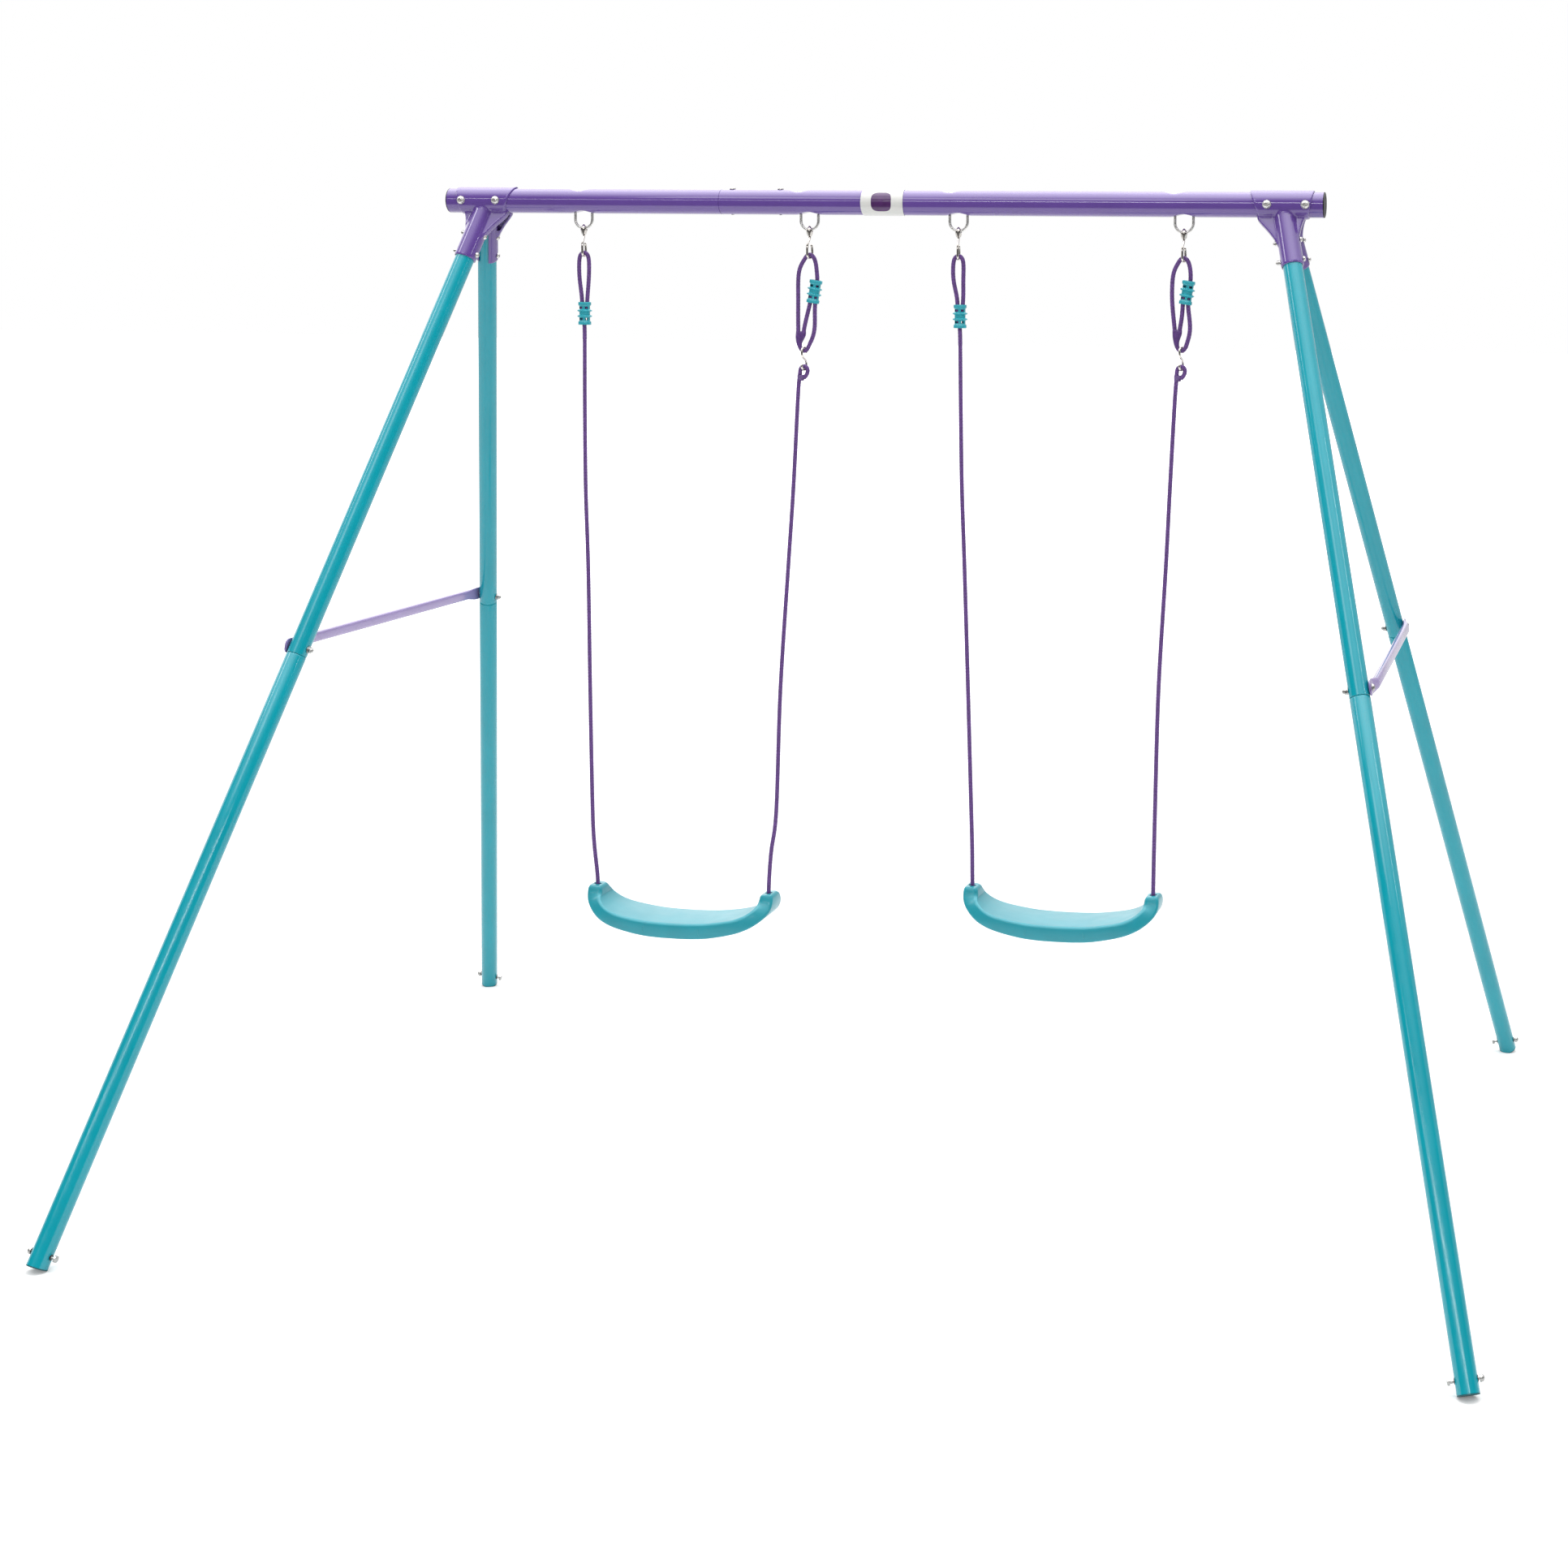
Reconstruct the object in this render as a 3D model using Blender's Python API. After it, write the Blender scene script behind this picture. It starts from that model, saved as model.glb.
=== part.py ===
"""Double swing set: two-section top bar, four splayed two-piece legs, cross braces, two rope-hung seats.

Metres, +Z up, +X along the bar, -Y to the front. The origin is on the ground under the middle of the bar.
Each visible object is one physical piece and one closed solid. Left is -X, front is -Y.
"""
import bmesh
import bpy
import numpy as np
from math import cos, pi, radians, sin
from mathutils import Vector

# ---------------------------------------------------------------- sizes
GAP = 0.0003                    # clearance between neighbouring solids
WALL = 0.0015                   # steel tube wall
BAR_R = 0.025
BAR_HALF = 0.8955
AXIS_Z = 1.9140                 # height of the bar's axis
SPLICE_X = -0.315               # where the two bar sections meet
SPIGOT = 0.130                  # length of the swaged end inside the right section
HANGER_X = (-0.6091, -0.1325, 0.1732, 0.6238)
DENT_TOP = (-0.006, -0.0205, -0.016, -0.019)    # the upper dents sit to one side of each U-bolt
DENT_HALF = 0.029
DENT_DEEP = 0.0052

LEG_R = 0.019
LEG_TOP = Vector((0.8222, -0.0085, 1.8857))     # front right; the others are mirrored
LEG_FOOT = Vector((1.2541, -0.9194, 0.0065))
LEG_START = 0.036               # distances below are measured down the leg from LEG_TOP
SOCKET_END = 0.103
LEG_SPLICE = 0.967
LEG_SPIGOT = 0.120
BRACE_BOLT = 0.952
ANCHOR_UP = 0.024
CAP_LIP = 0.0022

SLEEVE_R = 0.0283
SOCKET_R = 0.0222
BRACKET_BOLTS = (0.788, 0.862)

WIRE_R = 0.0029
WIRE_Z = 1.8591                 # axis of the U-bolt wire at its lowest point: the swing pivot
UBOLT_R = 0.018
HOOK_WIRE_R = 0.0024
HOOK_YAW = (0.0, -17.0, 4.0, -11.0)

ROPE_R = 0.0046
SEAT_HALF = 0.184               # rope hole to the middle of the seat
SEATS = {"left": (-0.4012, 0.5125), "right": (0.3938, 0.5520)}

SIDES = {"left": -1, "right": 1}
ENDS = {"front": 1, "rear": -1}


# ---------------------------------------------------------------- mesh helpers
def clear_scene():
    for obj in list(bpy.data.objects):
        bpy.data.objects.remove(obj)


def finish_mesh(obj):
    mesh = bmesh.new()
    mesh.from_mesh(obj.data)
    bmesh.ops.remove_doubles(mesh, verts=mesh.verts, dist=1e-6)
    bmesh.ops.recalc_face_normals(mesh, faces=mesh.faces)
    if mesh.calc_volume(signed=True) < 0:
        bmesh.ops.reverse_faces(mesh, faces=mesh.faces)
    mesh.to_mesh(obj.data)
    mesh.free()


def skin(name, rings, closed=False):
    """Join rings of equal length; closed makes a hollow loop, otherwise both ends are capped."""
    count = len(rings[0])
    verts = [tuple(p) for ring in rings for p in ring]
    faces = []
    last = len(rings) if closed else len(rings) - 1
    for i in range(last):
        a = i * count
        b = ((i + 1) % len(rings)) * count
        for j in range(count):
            k = (j + 1) % count
            faces.append((a + j, a + k, b + k, b + j))
    if not closed:
        faces.append(tuple(reversed(range(count))))
        faces.append(tuple(range((len(rings) - 1) * count, len(rings) * count)))
    mesh = bpy.data.meshes.new(name)
    mesh.from_pydata(verts, [], faces)
    obj = bpy.data.objects.new(name, mesh)
    bpy.context.collection.objects.link(obj)
    finish_mesh(obj)
    return obj


def boolean(target, tool, operation):
    bpy.context.view_layer.update()
    mod = target.modifiers.new("step", "BOOLEAN")
    mod.operation = operation
    mod.solver = "EXACT"
    mod.object = tool
    graph = bpy.context.evaluated_depsgraph_get()
    mesh = bpy.data.meshes.new_from_object(target.evaluated_get(graph))
    target.modifiers.clear()
    target.data = mesh
    bpy.data.objects.remove(tool)
    finish_mesh(target)
    return target


def side_axes(axis, hint=Vector((1, 0, 0))):
    """Two unit vectors square to axis, the first one as near to hint as it can be."""
    w = axis.normalized()
    if abs(w.dot(hint)) > 0.99:
        hint = Vector((0, 1, 0))
    u = (hint - w * hint.dot(w)).normalized()
    return u, w.cross(u)


def circle(centre, u, v, radius, sides, turn=0.0):
    steps = [2 * pi * k / sides + turn for k in range(sides)]
    return [centre + u * (radius * cos(a)) + v * (radius * sin(a)) for a in steps]


def rod(name, start, end, radius, sides=12):
    u, v = side_axes(end - start)
    return skin(name, [circle(start, u, v, radius, sides), circle(end, u, v, radius, sides)])


def drill(target, start, end, radius, sides=10):
    return boolean(target, rod("tool", start, end, radius, sides), "DIFFERENCE")


def turned(name, origin, axis, profile, sides, hint=Vector((1, 0, 0)), closed=False):
    """A lathe-turned solid from (distance along axis, radius) pairs."""
    u, v = side_axes(axis, hint)
    w = axis.normalized()
    return skin(name, [circle(origin + w * t, u, v, r, sides) for t, r in profile], closed)


def box(name, low, high):
    x0, y0, z0 = low
    x1, y1, z1 = high
    lower = [Vector(p) for p in ((x0, y0, z0), (x1, y0, z0), (x1, y1, z0), (x0, y1, z0))]
    upper = [Vector((p.x, p.y, z1)) for p in lower]
    return skin(name, [lower, upper])


def wire(name, points, radius, sides, hint=Vector((1, 0, 0))):
    """A bent rod through points, with its section kept square to the path."""
    rings = []
    for i, p in enumerate(points):
        ahead = points[min(i + 1, len(points) - 1)]
        behind = points[max(i - 1, 0)]
        u, v = side_axes(ahead - behind, hint)
        rings.append(circle(p, u, v, radius, sides))
    return skin(name, rings)


def smooth(points, spacing):
    """Evenly spread points on a smooth curve through the given ones."""
    p = np.array(points, float)
    p = np.vstack([2 * p[0] - p[1], p, 2 * p[-1] - p[-2]])
    fine = []
    for i in range(1, len(p) - 2):
        for t in np.linspace(0, 1, 24, endpoint=False):
            a = 2 * p[i] + (p[i + 1] - p[i - 1]) * t
            b = (2 * p[i - 1] - 5 * p[i] + 4 * p[i + 1] - p[i + 2]) * t * t
            c = (3 * p[i] - p[i - 1] - 3 * p[i + 1] + p[i + 2]) * t ** 3
            fine.append((a + b + c) / 2)
    fine.append(p[-2])
    fine = np.array(fine)
    along = np.concatenate([[0], np.cumsum(np.linalg.norm(np.diff(fine, axis=0), axis=1))])
    count = max(2, int(round(along[-1] / spacing)) + 1)
    marks = np.linspace(0, along[-1], count)
    return [Vector([float(np.interp(m, along, fine[:, k])) for k in range(3)]) for m in marks]


# ---------------------------------------------------------------- top bar
def bell(distance):
    s = abs(distance) / DENT_HALF
    return DENT_DEEP * 0.5 * (1 + cos(pi * s)) if s < 1 else 0.0


def bar_ring(x, radius, sides=16):
    top = sum(bell(x - hx - dx) for hx, dx in zip(HANGER_X, DENT_TOP))
    low = sum(bell(x - hx) for hx in HANGER_X)
    ring = []
    for k in range(sides):
        a = 2 * pi * k / sides
        z = radius * sin(a)
        z = min(z, radius - top)
        z = max(z, low - radius)
        ring.append(Vector((x, radius * cos(a), AXIS_Z + z)))
    return ring


def bar_stations(start, end):
    marks = {start, end}
    for hx, dx in zip(HANGER_X, DENT_TOP):
        marks.add(round(hx + dx - DENT_HALF, 4))
        for step in (-0.6, 0.0, 0.6, 1.0):
            marks.add(round(hx + step * DENT_HALF, 4))
    marks = sorted(m for m in marks if start <= m <= end)
    return [m for i, m in enumerate(marks) if i == 0 or m - marks[i - 1] > 0.002 or m == end]


def build_bar():
    inner = BAR_R - WALL
    left = bar_stations(-BAR_HALF, SPLICE_X - 0.012)
    spigot = inner - GAP
    end = SPLICE_X + SPIGOT
    rings = [bar_ring(x, BAR_R) for x in left]
    rings += [bar_ring(SPLICE_X - GAP, BAR_R), bar_ring(SPLICE_X - GAP + 1e-4, spigot), bar_ring(end, spigot)]
    rings += [bar_ring(end, spigot - WALL), bar_ring(SPLICE_X - 0.012, spigot - WALL)]
    rings += [bar_ring(x, inner) for x in reversed(left)]
    bar_left = skin("bar_left", rings, closed=True)
    right = bar_stations(SPLICE_X, BAR_HALF)
    rings = [bar_ring(x, BAR_R) for x in right] + [bar_ring(x, inner) for x in reversed(right)]
    bar_right = skin("bar_right", rings, closed=True)
    for bar, sign in ((bar_left, -1), (bar_right, 1)):
        for x in BRACKET_BOLTS:
            start = Vector((sign * x, -0.04, AXIS_Z))
            drill(bar, start, start + Vector((0, 0.08, 0)), 0.0040)
    for x in (SPLICE_X + 0.022, SPLICE_X + 0.122):
        low = Vector((x, 0, AXIS_Z - 0.03))
        for bar in (bar_left, bar_right):
            drill(bar, low, low + Vector((0, 0, 0.06)), 0.0034)
        turned(f"splice_bolt_{'inner' if x < -0.25 else 'outer'}", Vector((x, 0, AXIS_Z)), Vector((0, 0, 1)),
               [(-0.0315, 0.0056), (-0.0254, 0.0064), (-0.0253, 0.0030), (0.0253, 0.0030), (0.0254, 0.0078),
                (0.0270, 0.0074), (0.0305, 0.0035)], 8)
    for hx in HANGER_X:
        bar = bar_left if hx < SPLICE_X else bar_right
        for side in (-1, 1):
            low = Vector((hx + side * UBOLT_R, 0, AXIS_Z - 0.035))
            drill(bar, low, low + Vector((0, 0, 0.025)), WIRE_R + GAP)
    for side, sign in SIDES.items():
        turned(f"bar_cap_{side}", Vector((sign * BAR_HALF, 0, AXIS_Z)), Vector((sign, 0, 0)),
               [(-0.014, inner - 0.0008), (0.0002, inner - 0.0006), (GAP, BAR_R - 0.0006),
                (0.0018, BAR_R - 0.0006), (0.0028, BAR_R - 0.0030)], 16, Vector((0, 1, 0)))
    rings = []
    for k in range(11):
        a = radians(-96 + 192 * k / 10)
        bulge = 0.0035 * (1 - cos(a)) * 0.5
        r_in, r_out = BAR_R + 2 * GAP, BAR_R + 2 * GAP + 0.0005
        y, z = -cos(a), sin(a)
        x0, x1 = -0.0205 + bulge, 0.0655 - bulge
        rings.append([Vector((x0, y * r_in, AXIS_Z + z * r_in)), Vector((x1, y * r_in, AXIS_Z + z * r_in)),
                      Vector((x1, y * r_out, AXIS_Z + z * r_out)), Vector((x0, y * r_out, AXIS_Z + z * r_out))])
    skin("bar_label", rings)


# ---------------------------------------------------------------- legs
class Leg:
    """Axis and cross directions of one leg; across points outwards along the bar, square to the leg."""

    def __init__(self, side, end):
        flip = Vector((SIDES[side], ENDS[end], 1))
        self.top = Vector([a * b for a, b in zip(LEG_TOP, flip)])
        self.foot = Vector([a * b for a, b in zip(LEG_FOOT, flip)])
        self.down = (self.foot - self.top).normalized()
        self.length = (self.foot - self.top).length
        self.across, self.depth = side_axes(self.down, Vector((SIDES[side], 0, 0)))

    def at(self, s):
        return self.top + self.down * s

    def pipe(self, name, profile, sides=16):
        return turned(name, self.top, self.down, profile, sides, self.across, closed=True)


LEGS = {(side, end): Leg(side, end) for side in SIDES for end in ENDS}


def build_legs():
    inner = LEG_R - WALL
    spigot = inner - GAP
    for (side, end), leg in LEGS.items():
        tag = f"{end}_{side}"
        tube_end = leg.length - CAP_LIP
        join = LEG_SPLICE + GAP
        upper = leg.pipe(f"leg_upper_{tag}", [(LEG_START, LEG_R), (LEG_SPLICE, LEG_R), (LEG_SPLICE, inner),
                                              (LEG_START, inner)])
        lower = leg.pipe(f"leg_lower_{tag}", [
            (LEG_SPLICE - LEG_SPIGOT, spigot), (join, spigot), (join + 0.0002, LEG_R - 0.0010),
            (join + 0.0022, LEG_R), (tube_end, LEG_R), (tube_end, inner), (join + 0.004, inner - 0.0004),
            (LEG_SPLICE - LEG_SPIGOT, spigot - WALL)])
        hole = leg.at(BRACE_BOLT)
        for piece in (upper, lower):
            drill(piece, hole - leg.across * 0.03, hole + leg.across * 0.03, 0.0034)
        anchor = leg.at(leg.length - ANCHOR_UP)
        drill(lower, anchor - leg.across * 0.03, anchor + leg.across * 0.03, 0.0034)
        turned(f"anchor_bolt_{tag}", anchor, leg.across,
               [(-0.0310, 0.0030), (-0.0290, 0.0056), (-0.0262, 0.0060), (-0.0261, 0.0030),
                (0.0215, 0.0030), (0.0216, 0.0060), (0.0262, 0.0060), (0.0295, 0.0032)], 8)
        cap = turned(f"foot_cap_{tag}", leg.top, leg.down,
                     [(tube_end - 0.010, inner - 0.0010), (tube_end + 0.0002, inner - 0.0006),
                      (tube_end + GAP, LEG_R - 0.0003), (leg.length, LEG_R - 0.0003)], 16, leg.across)
        floor = box("tool", (leg.foot.x - 0.05, leg.foot.y - 0.05, -0.05), (leg.foot.x + 0.05, leg.foot.y + 0.05, 0))
        boolean(cap, floor, "DIFFERENCE")
        floor = box("tool", (leg.foot.x - 0.05, leg.foot.y - 0.05, -0.05),
                    (leg.foot.x + 0.05, leg.foot.y + 0.05, 0.0006))
        boolean(lower, floor, "DIFFERENCE")


# ---------------------------------------------------------------- corner brackets
def sleeve_half(name, side, end):
    """Half of the clamp round the bar, trimmed narrower towards the bottom."""
    sign, face = SIDES[side], -ENDS[end]
    rings = []
    for k in range(10):
        a = radians(90 - 180 * k / 9)
        fall = k / 9
        x0 = sign * (0.752 + 0.022 * fall)
        x1 = sign * (0.878 - 0.0105 * fall)
        y, z = face * cos(a), sin(a)
        if k in (0, 9):
            y += face * 0.016
        ring = [(x0, BAR_R + GAP), (x1, BAR_R + GAP), (x1, SLEEVE_R), (x0, SLEEVE_R)]
        rings.append([Vector((x, y * r, AXIS_Z + z * r)) for x, r in ring])
    return skin(name, rings)


def web(leg, side, inner):
    """Curved gusset plate between the sleeve and the socket, in the plane of the leg."""
    if inner:
        edge = [(-0.0480, -0.006), (-0.0480, 0.0000), (-0.0385, 0.0130), (-0.0310, 0.0280), (-0.0255, 0.0430),
                (-0.0210, 0.0560), (-0.0100, 0.0560), (-0.0100, -0.006)]
    else:
        edge = [(0.0455, -0.006), (0.0455, -0.0010), (0.0365, 0.0060), (0.0280, 0.0150), (0.0215, 0.0260),
                (0.0100, 0.0260), (0.0100, -0.006)]
    half = 0.0013
    rings = []
    for t in (-half, half):
        rings.append([leg.top + leg.across * a + leg.down * s + leg.depth * t for a, s in edge])
    return skin("web", rings)


def build_brackets():
    for (side, end), leg in LEGS.items():
        sign, face = SIDES[side], -ENDS[end]
        shell = sleeve_half(f"bracket_{end}_{side}", side, end)
        u, v = leg.across, leg.depth
        socket = skin("socket", [circle(leg.at(s), u, v, SOCKET_R, 16) for s in (-0.030, SOCKET_END)])
        boolean(shell, socket, "UNION")
        for inner in (True, False):
            boolean(shell, web(leg, side, inner), "UNION")
        bore = skin("bore", [circle(leg.at(s), u, v, LEG_R + 2 * GAP, 16) for s in (-0.06, 0.13)])
        boolean(shell, bore, "DIFFERENCE")
        start = Vector((sign * 0.70, 0, AXIS_Z))
        drill(shell, start, start + Vector((sign * 0.25, 0, 0)), BAR_R + GAP, 16)
        near, far = sorted((sign * 0.70, sign * 0.95))
        front, back = sorted((face * 0.0004, -face * 0.12))
        boolean(shell, box("tool", (near, front, 1.60), (far, back, 2.0)), "DIFFERENCE")
        for x in BRACKET_BOLTS:
            start = Vector((sign * x, 0, AXIS_Z))
            drill(shell, start, start + Vector((0, face * 0.05, 0)), 0.0040)
    for side, sign in SIDES.items():
        for place, x in zip(("inner", "outer"), BRACKET_BOLTS):
            face = SLEEVE_R + GAP
            turned(f"bracket_bolt_{place}_{side}", Vector((sign * x, 0, AXIS_Z)), Vector((0, 1, 0)),
                   [(-face - 0.0058, 0.0040), (-face - 0.0040, 0.0072), (-face, 0.0080), (-face + 0.0001, 0.0037),
                    (face - 0.0001, 0.0037), (face, 0.0070), (face + 0.0070, 0.0066), (face + 0.0071, 0.0036),
                    (face + 0.0110, 0.0035)], 8)


# ---------------------------------------------------------------- braces
def build_braces():
    for side, sign in SIDES.items():
        front = LEGS[side, "front"]
        rear = LEGS[side, "rear"]
        tilt = Vector((front.across.x, 0, front.across.z)).normalized()
        up = Vector((-tilt.z * sign, 0, tilt.x * sign))
        hole = front.at(BRACE_BOLT)
        middle = Vector((hole.x, 0, hole.z)) + tilt * (LEG_R + 0.0030)
        reach = abs(hole.y)
        stations = [(-reach - 0.014, 0.0100, 0.0020, 0), (-reach - 0.011, 0.0140, 0.0020, 0),
                    (-reach + 0.015, 0.0140, 0.0020, 0), (-reach + 0.050, 0.0105, 0.0065, 0.0050)]
        stations += [(-y, h, d, o) for y, h, d, o in reversed(stations)]

        def ring(y, h, d, o):
            shape = [(1, 0.6), (0.7, 1), (-0.7, 1), (-1, 0.6), (-1, -0.6), (-0.7, -1), (0.7, -1), (1, -0.6)]
            centre = middle + tilt * o + Vector((0, y, 0))
            return [centre + up * (a * h) + tilt * (b * d) for a, b in shape]

        outer = [ring(*s) for s in stations]
        inner = [ring(y, h - 0.0014, max(d - 0.0014, 0.0003), o) for y, h, d, o in reversed(stations)]
        brace = skin(f"brace_{side}", outer + inner, closed=True)
        for leg in (front, rear):
            centre = leg.at(BRACE_BOLT)
            drill(brace, centre, centre + leg.across * 0.05, 0.0034)
        for end, leg in (("front", front), ("rear", rear)):
            turned(f"brace_bolt_{end}_{side}", leg.at(BRACE_BOLT), leg.across,
                   [(-0.0305, 0.0028), (-0.0262, 0.0030), (-0.0261, 0.0052), (-0.0196, 0.0066), (-0.0195, 0.0030),
                    (0.0252, 0.0030), (0.0253, 0.0070), (0.0280, 0.0066), (0.0306, 0.0025)], 8)


# ---------------------------------------------------------------- hangers
def ubolt_path(hx):
    centre = WIRE_Z + UBOLT_R
    path = [Vector((hx - UBOLT_R, 0, AXIS_Z - 0.0140)), Vector((hx - UBOLT_R, 0, centre))]
    for k in range(1, 9):
        a = pi + pi * k / 9
        path.append(Vector((hx + UBOLT_R * cos(a), 0, centre + UBOLT_R * sin(a))))
    path += [Vector((hx + UBOLT_R, 0, centre)), Vector((hx + UBOLT_R, 0, AXIS_Z - 0.0140))]
    return path


def turned_path(points, hx, base, yaw):
    """Place a path drawn in (forward, height) at a hanger, turned a little about the vertical."""
    a = radians(yaw)
    return [Vector((hx - p * sin(a), p * cos(a), base + z)) for p, z in points]


def arc(centre, radius, start, end, steps):
    span = [radians(start + (end - start) * k / steps) for k in range(steps + 1)]
    return [(centre[0] + radius * cos(a), centre[1] + radius * sin(a)) for a in span]


def build_hangers():
    hook = [(0, -0.0100), (0, -0.0160), (-0.0032, -0.0215), (-0.0072, -0.0280), (-0.0088, -0.0355)]
    hook += arc((0, -0.0475), 0.0088, 180, 360, 6)
    hook += [(0.0088, -0.0410), (0.0076, -0.0345), (0.0050, -0.0285)]
    for i, (hx, yaw) in enumerate(zip(HANGER_X, HOOK_YAW), 1):
        bolt = wire(f"u_bolt_{i}", ubolt_path(hx), WIRE_R, 8, Vector((0, 1, 0)))
        for side in (-1, 1):
            foot = Vector((hx + side * UBOLT_R, 0, AXIS_Z - 0.0165))
            boolean(bolt, rod("collar", foot, foot + Vector((0, 0, 0.0045)), 0.0055, 8), "UNION")
        body = turned(f"swing_hook_{i}", Vector((hx, 0, WIRE_Z)), Vector((0, 0, 1)),
                      [(-0.0124, 0.0044), (-0.0050, 0.0066), (-0.0005, 0.0074), (0.0035, 0.0056),
                       (0.0085, 0.0015)], 10)
        slot = turned("tool", Vector((hx, 0, WIRE_Z)), Vector((1, 0, 0)),
                      [(-0.0090, 0.0060), (0, 0.0038), (0.0090, 0.0060)], 8, Vector((0, 1, 0)))
        boolean(body, slot, "DIFFERENCE")
        path = turned_path(hook, hx, WIRE_Z, yaw)
        side = Vector((cos(radians(yaw)), sin(radians(yaw)), 0))
        boolean(body, wire("tool", path, HOOK_WIRE_R, 6, side), "UNION")


ADJUSTERS = ((-0.6083, 1.6868, 0.0), (-0.1225, 1.7365, 9.2), (0.1772, 1.6910, 0.0), (0.6312, 1.7430, 8.7))
S_HOOKS = {"left": (-0.1438, 1.6026), "right": (0.6212, 1.6145)}


def oval(half_x, half_y, sides, power):
    ring = []
    for k in range(sides):
        a = 2 * pi * k / sides
        x = abs(cos(a)) ** power * (1 if cos(a) >= 0 else -1)
        y = abs(sin(a)) ** power * (1 if sin(a) >= 0 else -1)
        ring.append((x * half_x, y * half_y))
    return ring


def build_adjusters():
    half = [(0.0232, 0.0118, 0.0088), (0.0155, 0.0122, 0.0092), (0.0140, 0.0110, 0.0070),
            (0.0078, 0.0110, 0.0070), (0.0070, 0.0148, 0.0100), (0.0042, 0.0148, 0.0100), (0.0034, 0.0110, 0.0070)]
    outside = half + [(-t, a, b) for t, a, b in reversed(half)]
    for i, (x, z, lean) in enumerate(ADJUSTERS, 1):
        a = radians(lean)
        up = Vector((sin(a), 0, cos(a)))
        across = Vector((cos(a), 0, -sin(a)))
        centre = Vector((x, 0, z))
        rings = []
        for t, hx, hy in outside:
            rings.append([centre + up * t + across * p + Vector((0, q, 0)) for p, q in oval(hx, hy, 12, 0.7)])
        for t in (-0.0232, 0.0232):
            rings.append([centre + up * t + across * p + Vector((0, q, 0))
                          for p, q in oval(0.0104, 0.0058, 12, 0.7)])
        skin(f"rope_adjuster_{i}", rings, closed=True)


def build_s_hooks():
    upper = arc((0, 0.0137), 0.0088, -25, 180, 6)
    path = upper + [(-0.0074, 0.0065), (-0.0035, 0.0022), (0.0035, -0.0022), (0.0074, -0.0065)]
    path += [(-p, -z) for p, z in reversed(upper)]
    for side, (x, z) in S_HOOKS.items():
        points = turned_path(path, x, z, -14)
        turn = radians(-14)
        wire(f"s_hook_{side}", points, HOOK_WIRE_R, 6, Vector((cos(turn), sin(turn), 0)))


# ---------------------------------------------------------------- seats
SEAT_PATH = ((-0.1838, 0.0, 0.0100, 0.015), (-0.1840, -0.003, 0.0130, 0.019), (-0.1855, -0.0155, 0.0130, 0.023),
             (-0.1820, -0.0285, 0.0130, 0.032), (-0.1700, -0.0405, 0.0132, 0.044), (-0.1505, -0.0520, 0.0138, 0.055),
             (-0.1210, -0.0617, 0.0146, 0.061), (-0.0740, -0.0707, 0.0156, 0.062), (-0.0370, -0.0738, 0.0160, 0.062))


def seat_stations():
    middle = [(0.0, -0.0745, 0.0160, 0.062)]
    left = [list(s) for s in SEAT_PATH]
    return left + [list(middle[0])] + [[-x, z, t, d] for x, z, t, d in reversed(left)]


def section(centre, tangent, low, high, depth, bevel):
    """Rounded rectangle square to the seat's path, from low to high along the outward-facing side."""
    up = Vector((-tangent.z, 0, tangent.x))
    b = bevel
    shape = [(-depth, low + b), (-depth + b, low), (depth - b, low), (depth, low + b),
             (depth, high - b), (depth - b * 0.3, high - b * 0.3), (depth - b, high),
             (-depth + b, high), (-depth + b * 0.3, high - b * 0.3), (-depth, high - b)]
    return [centre + Vector((0, p, 0)) + up * q for p, q in shape]


def tangents(points):
    result = []
    for i in range(len(points)):
        ahead = points[min(i + 1, len(points) - 1)]
        behind = points[max(i - 1, 0)]
        result.append((ahead - behind).normalized())
    return result


def build_seats():
    for side, (cx, mouth) in SEATS.items():
        stations = seat_stations()
        centres = [Vector((cx + x, 0, mouth + z)) for x, z, t, d in stations]
        ways = tangents(centres)
        ways[0] = Vector((0, 0, -1))
        ways[-1] = Vector((0, 0, 1))
        ways[1] = Vector((-0.05, 0, -1)).normalized()
        ways[-2] = Vector((-0.05, 0, 1)).normalized()
        rings = []
        for (x, z, t, d), c, w in zip(stations, centres, ways):
            rings.append(section(c, w, -t, t, d, 0.006))
        seat = skin(f"seat_{side}", rings)
        cells = ((2, 3, 4, 5, 6), (6, 7), (7, 8, 9), (9, 10, 11), (11, 12), (12, 13, 14, 15, 16))
        for cell in cells:
            cavity = []
            for n, i in enumerate(cell):
                x, z, t, d = stations[i]
                c = centres[i].copy()
                if n == 0:
                    c += ways[i] * 0.0020
                if n == len(cell) - 1:
                    c -= ways[i] * 0.0020
                cavity.append(section(c, ways[i], -t - 0.004, t - 0.0035, d - 0.0035, 0.002))
            boolean(seat, skin("cavity", cavity), "DIFFERENCE")
        for sign in (-1, 1):
            top = Vector((cx + sign * SEAT_HALF, 0, mouth + 0.01))
            drill(seat, top, top - Vector((0, 0, 0.036)), 0.0066, 12)


# ---------------------------------------------------------------- ropes
def rope(name, points):
    curve = bpy.data.curves.new(name, "CURVE")
    curve.dimensions = "3D"
    curve.bevel_depth = ROPE_R
    curve.bevel_resolution = 2
    curve.render_resolution_u = 0
    curve.use_fill_caps = True
    spline = curve.splines.new("POLY")
    spline.points.add(len(points) - 1)
    for p, q in zip(spline.points, points):
        p.co = (q[0], q[1], q[2], 1)
    obj = bpy.data.objects.new(name, curve)
    bpy.context.collection.objects.link(obj)
    return obj


def flat(points):
    return [(x, 0.0, z) for x, z in points]


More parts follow.
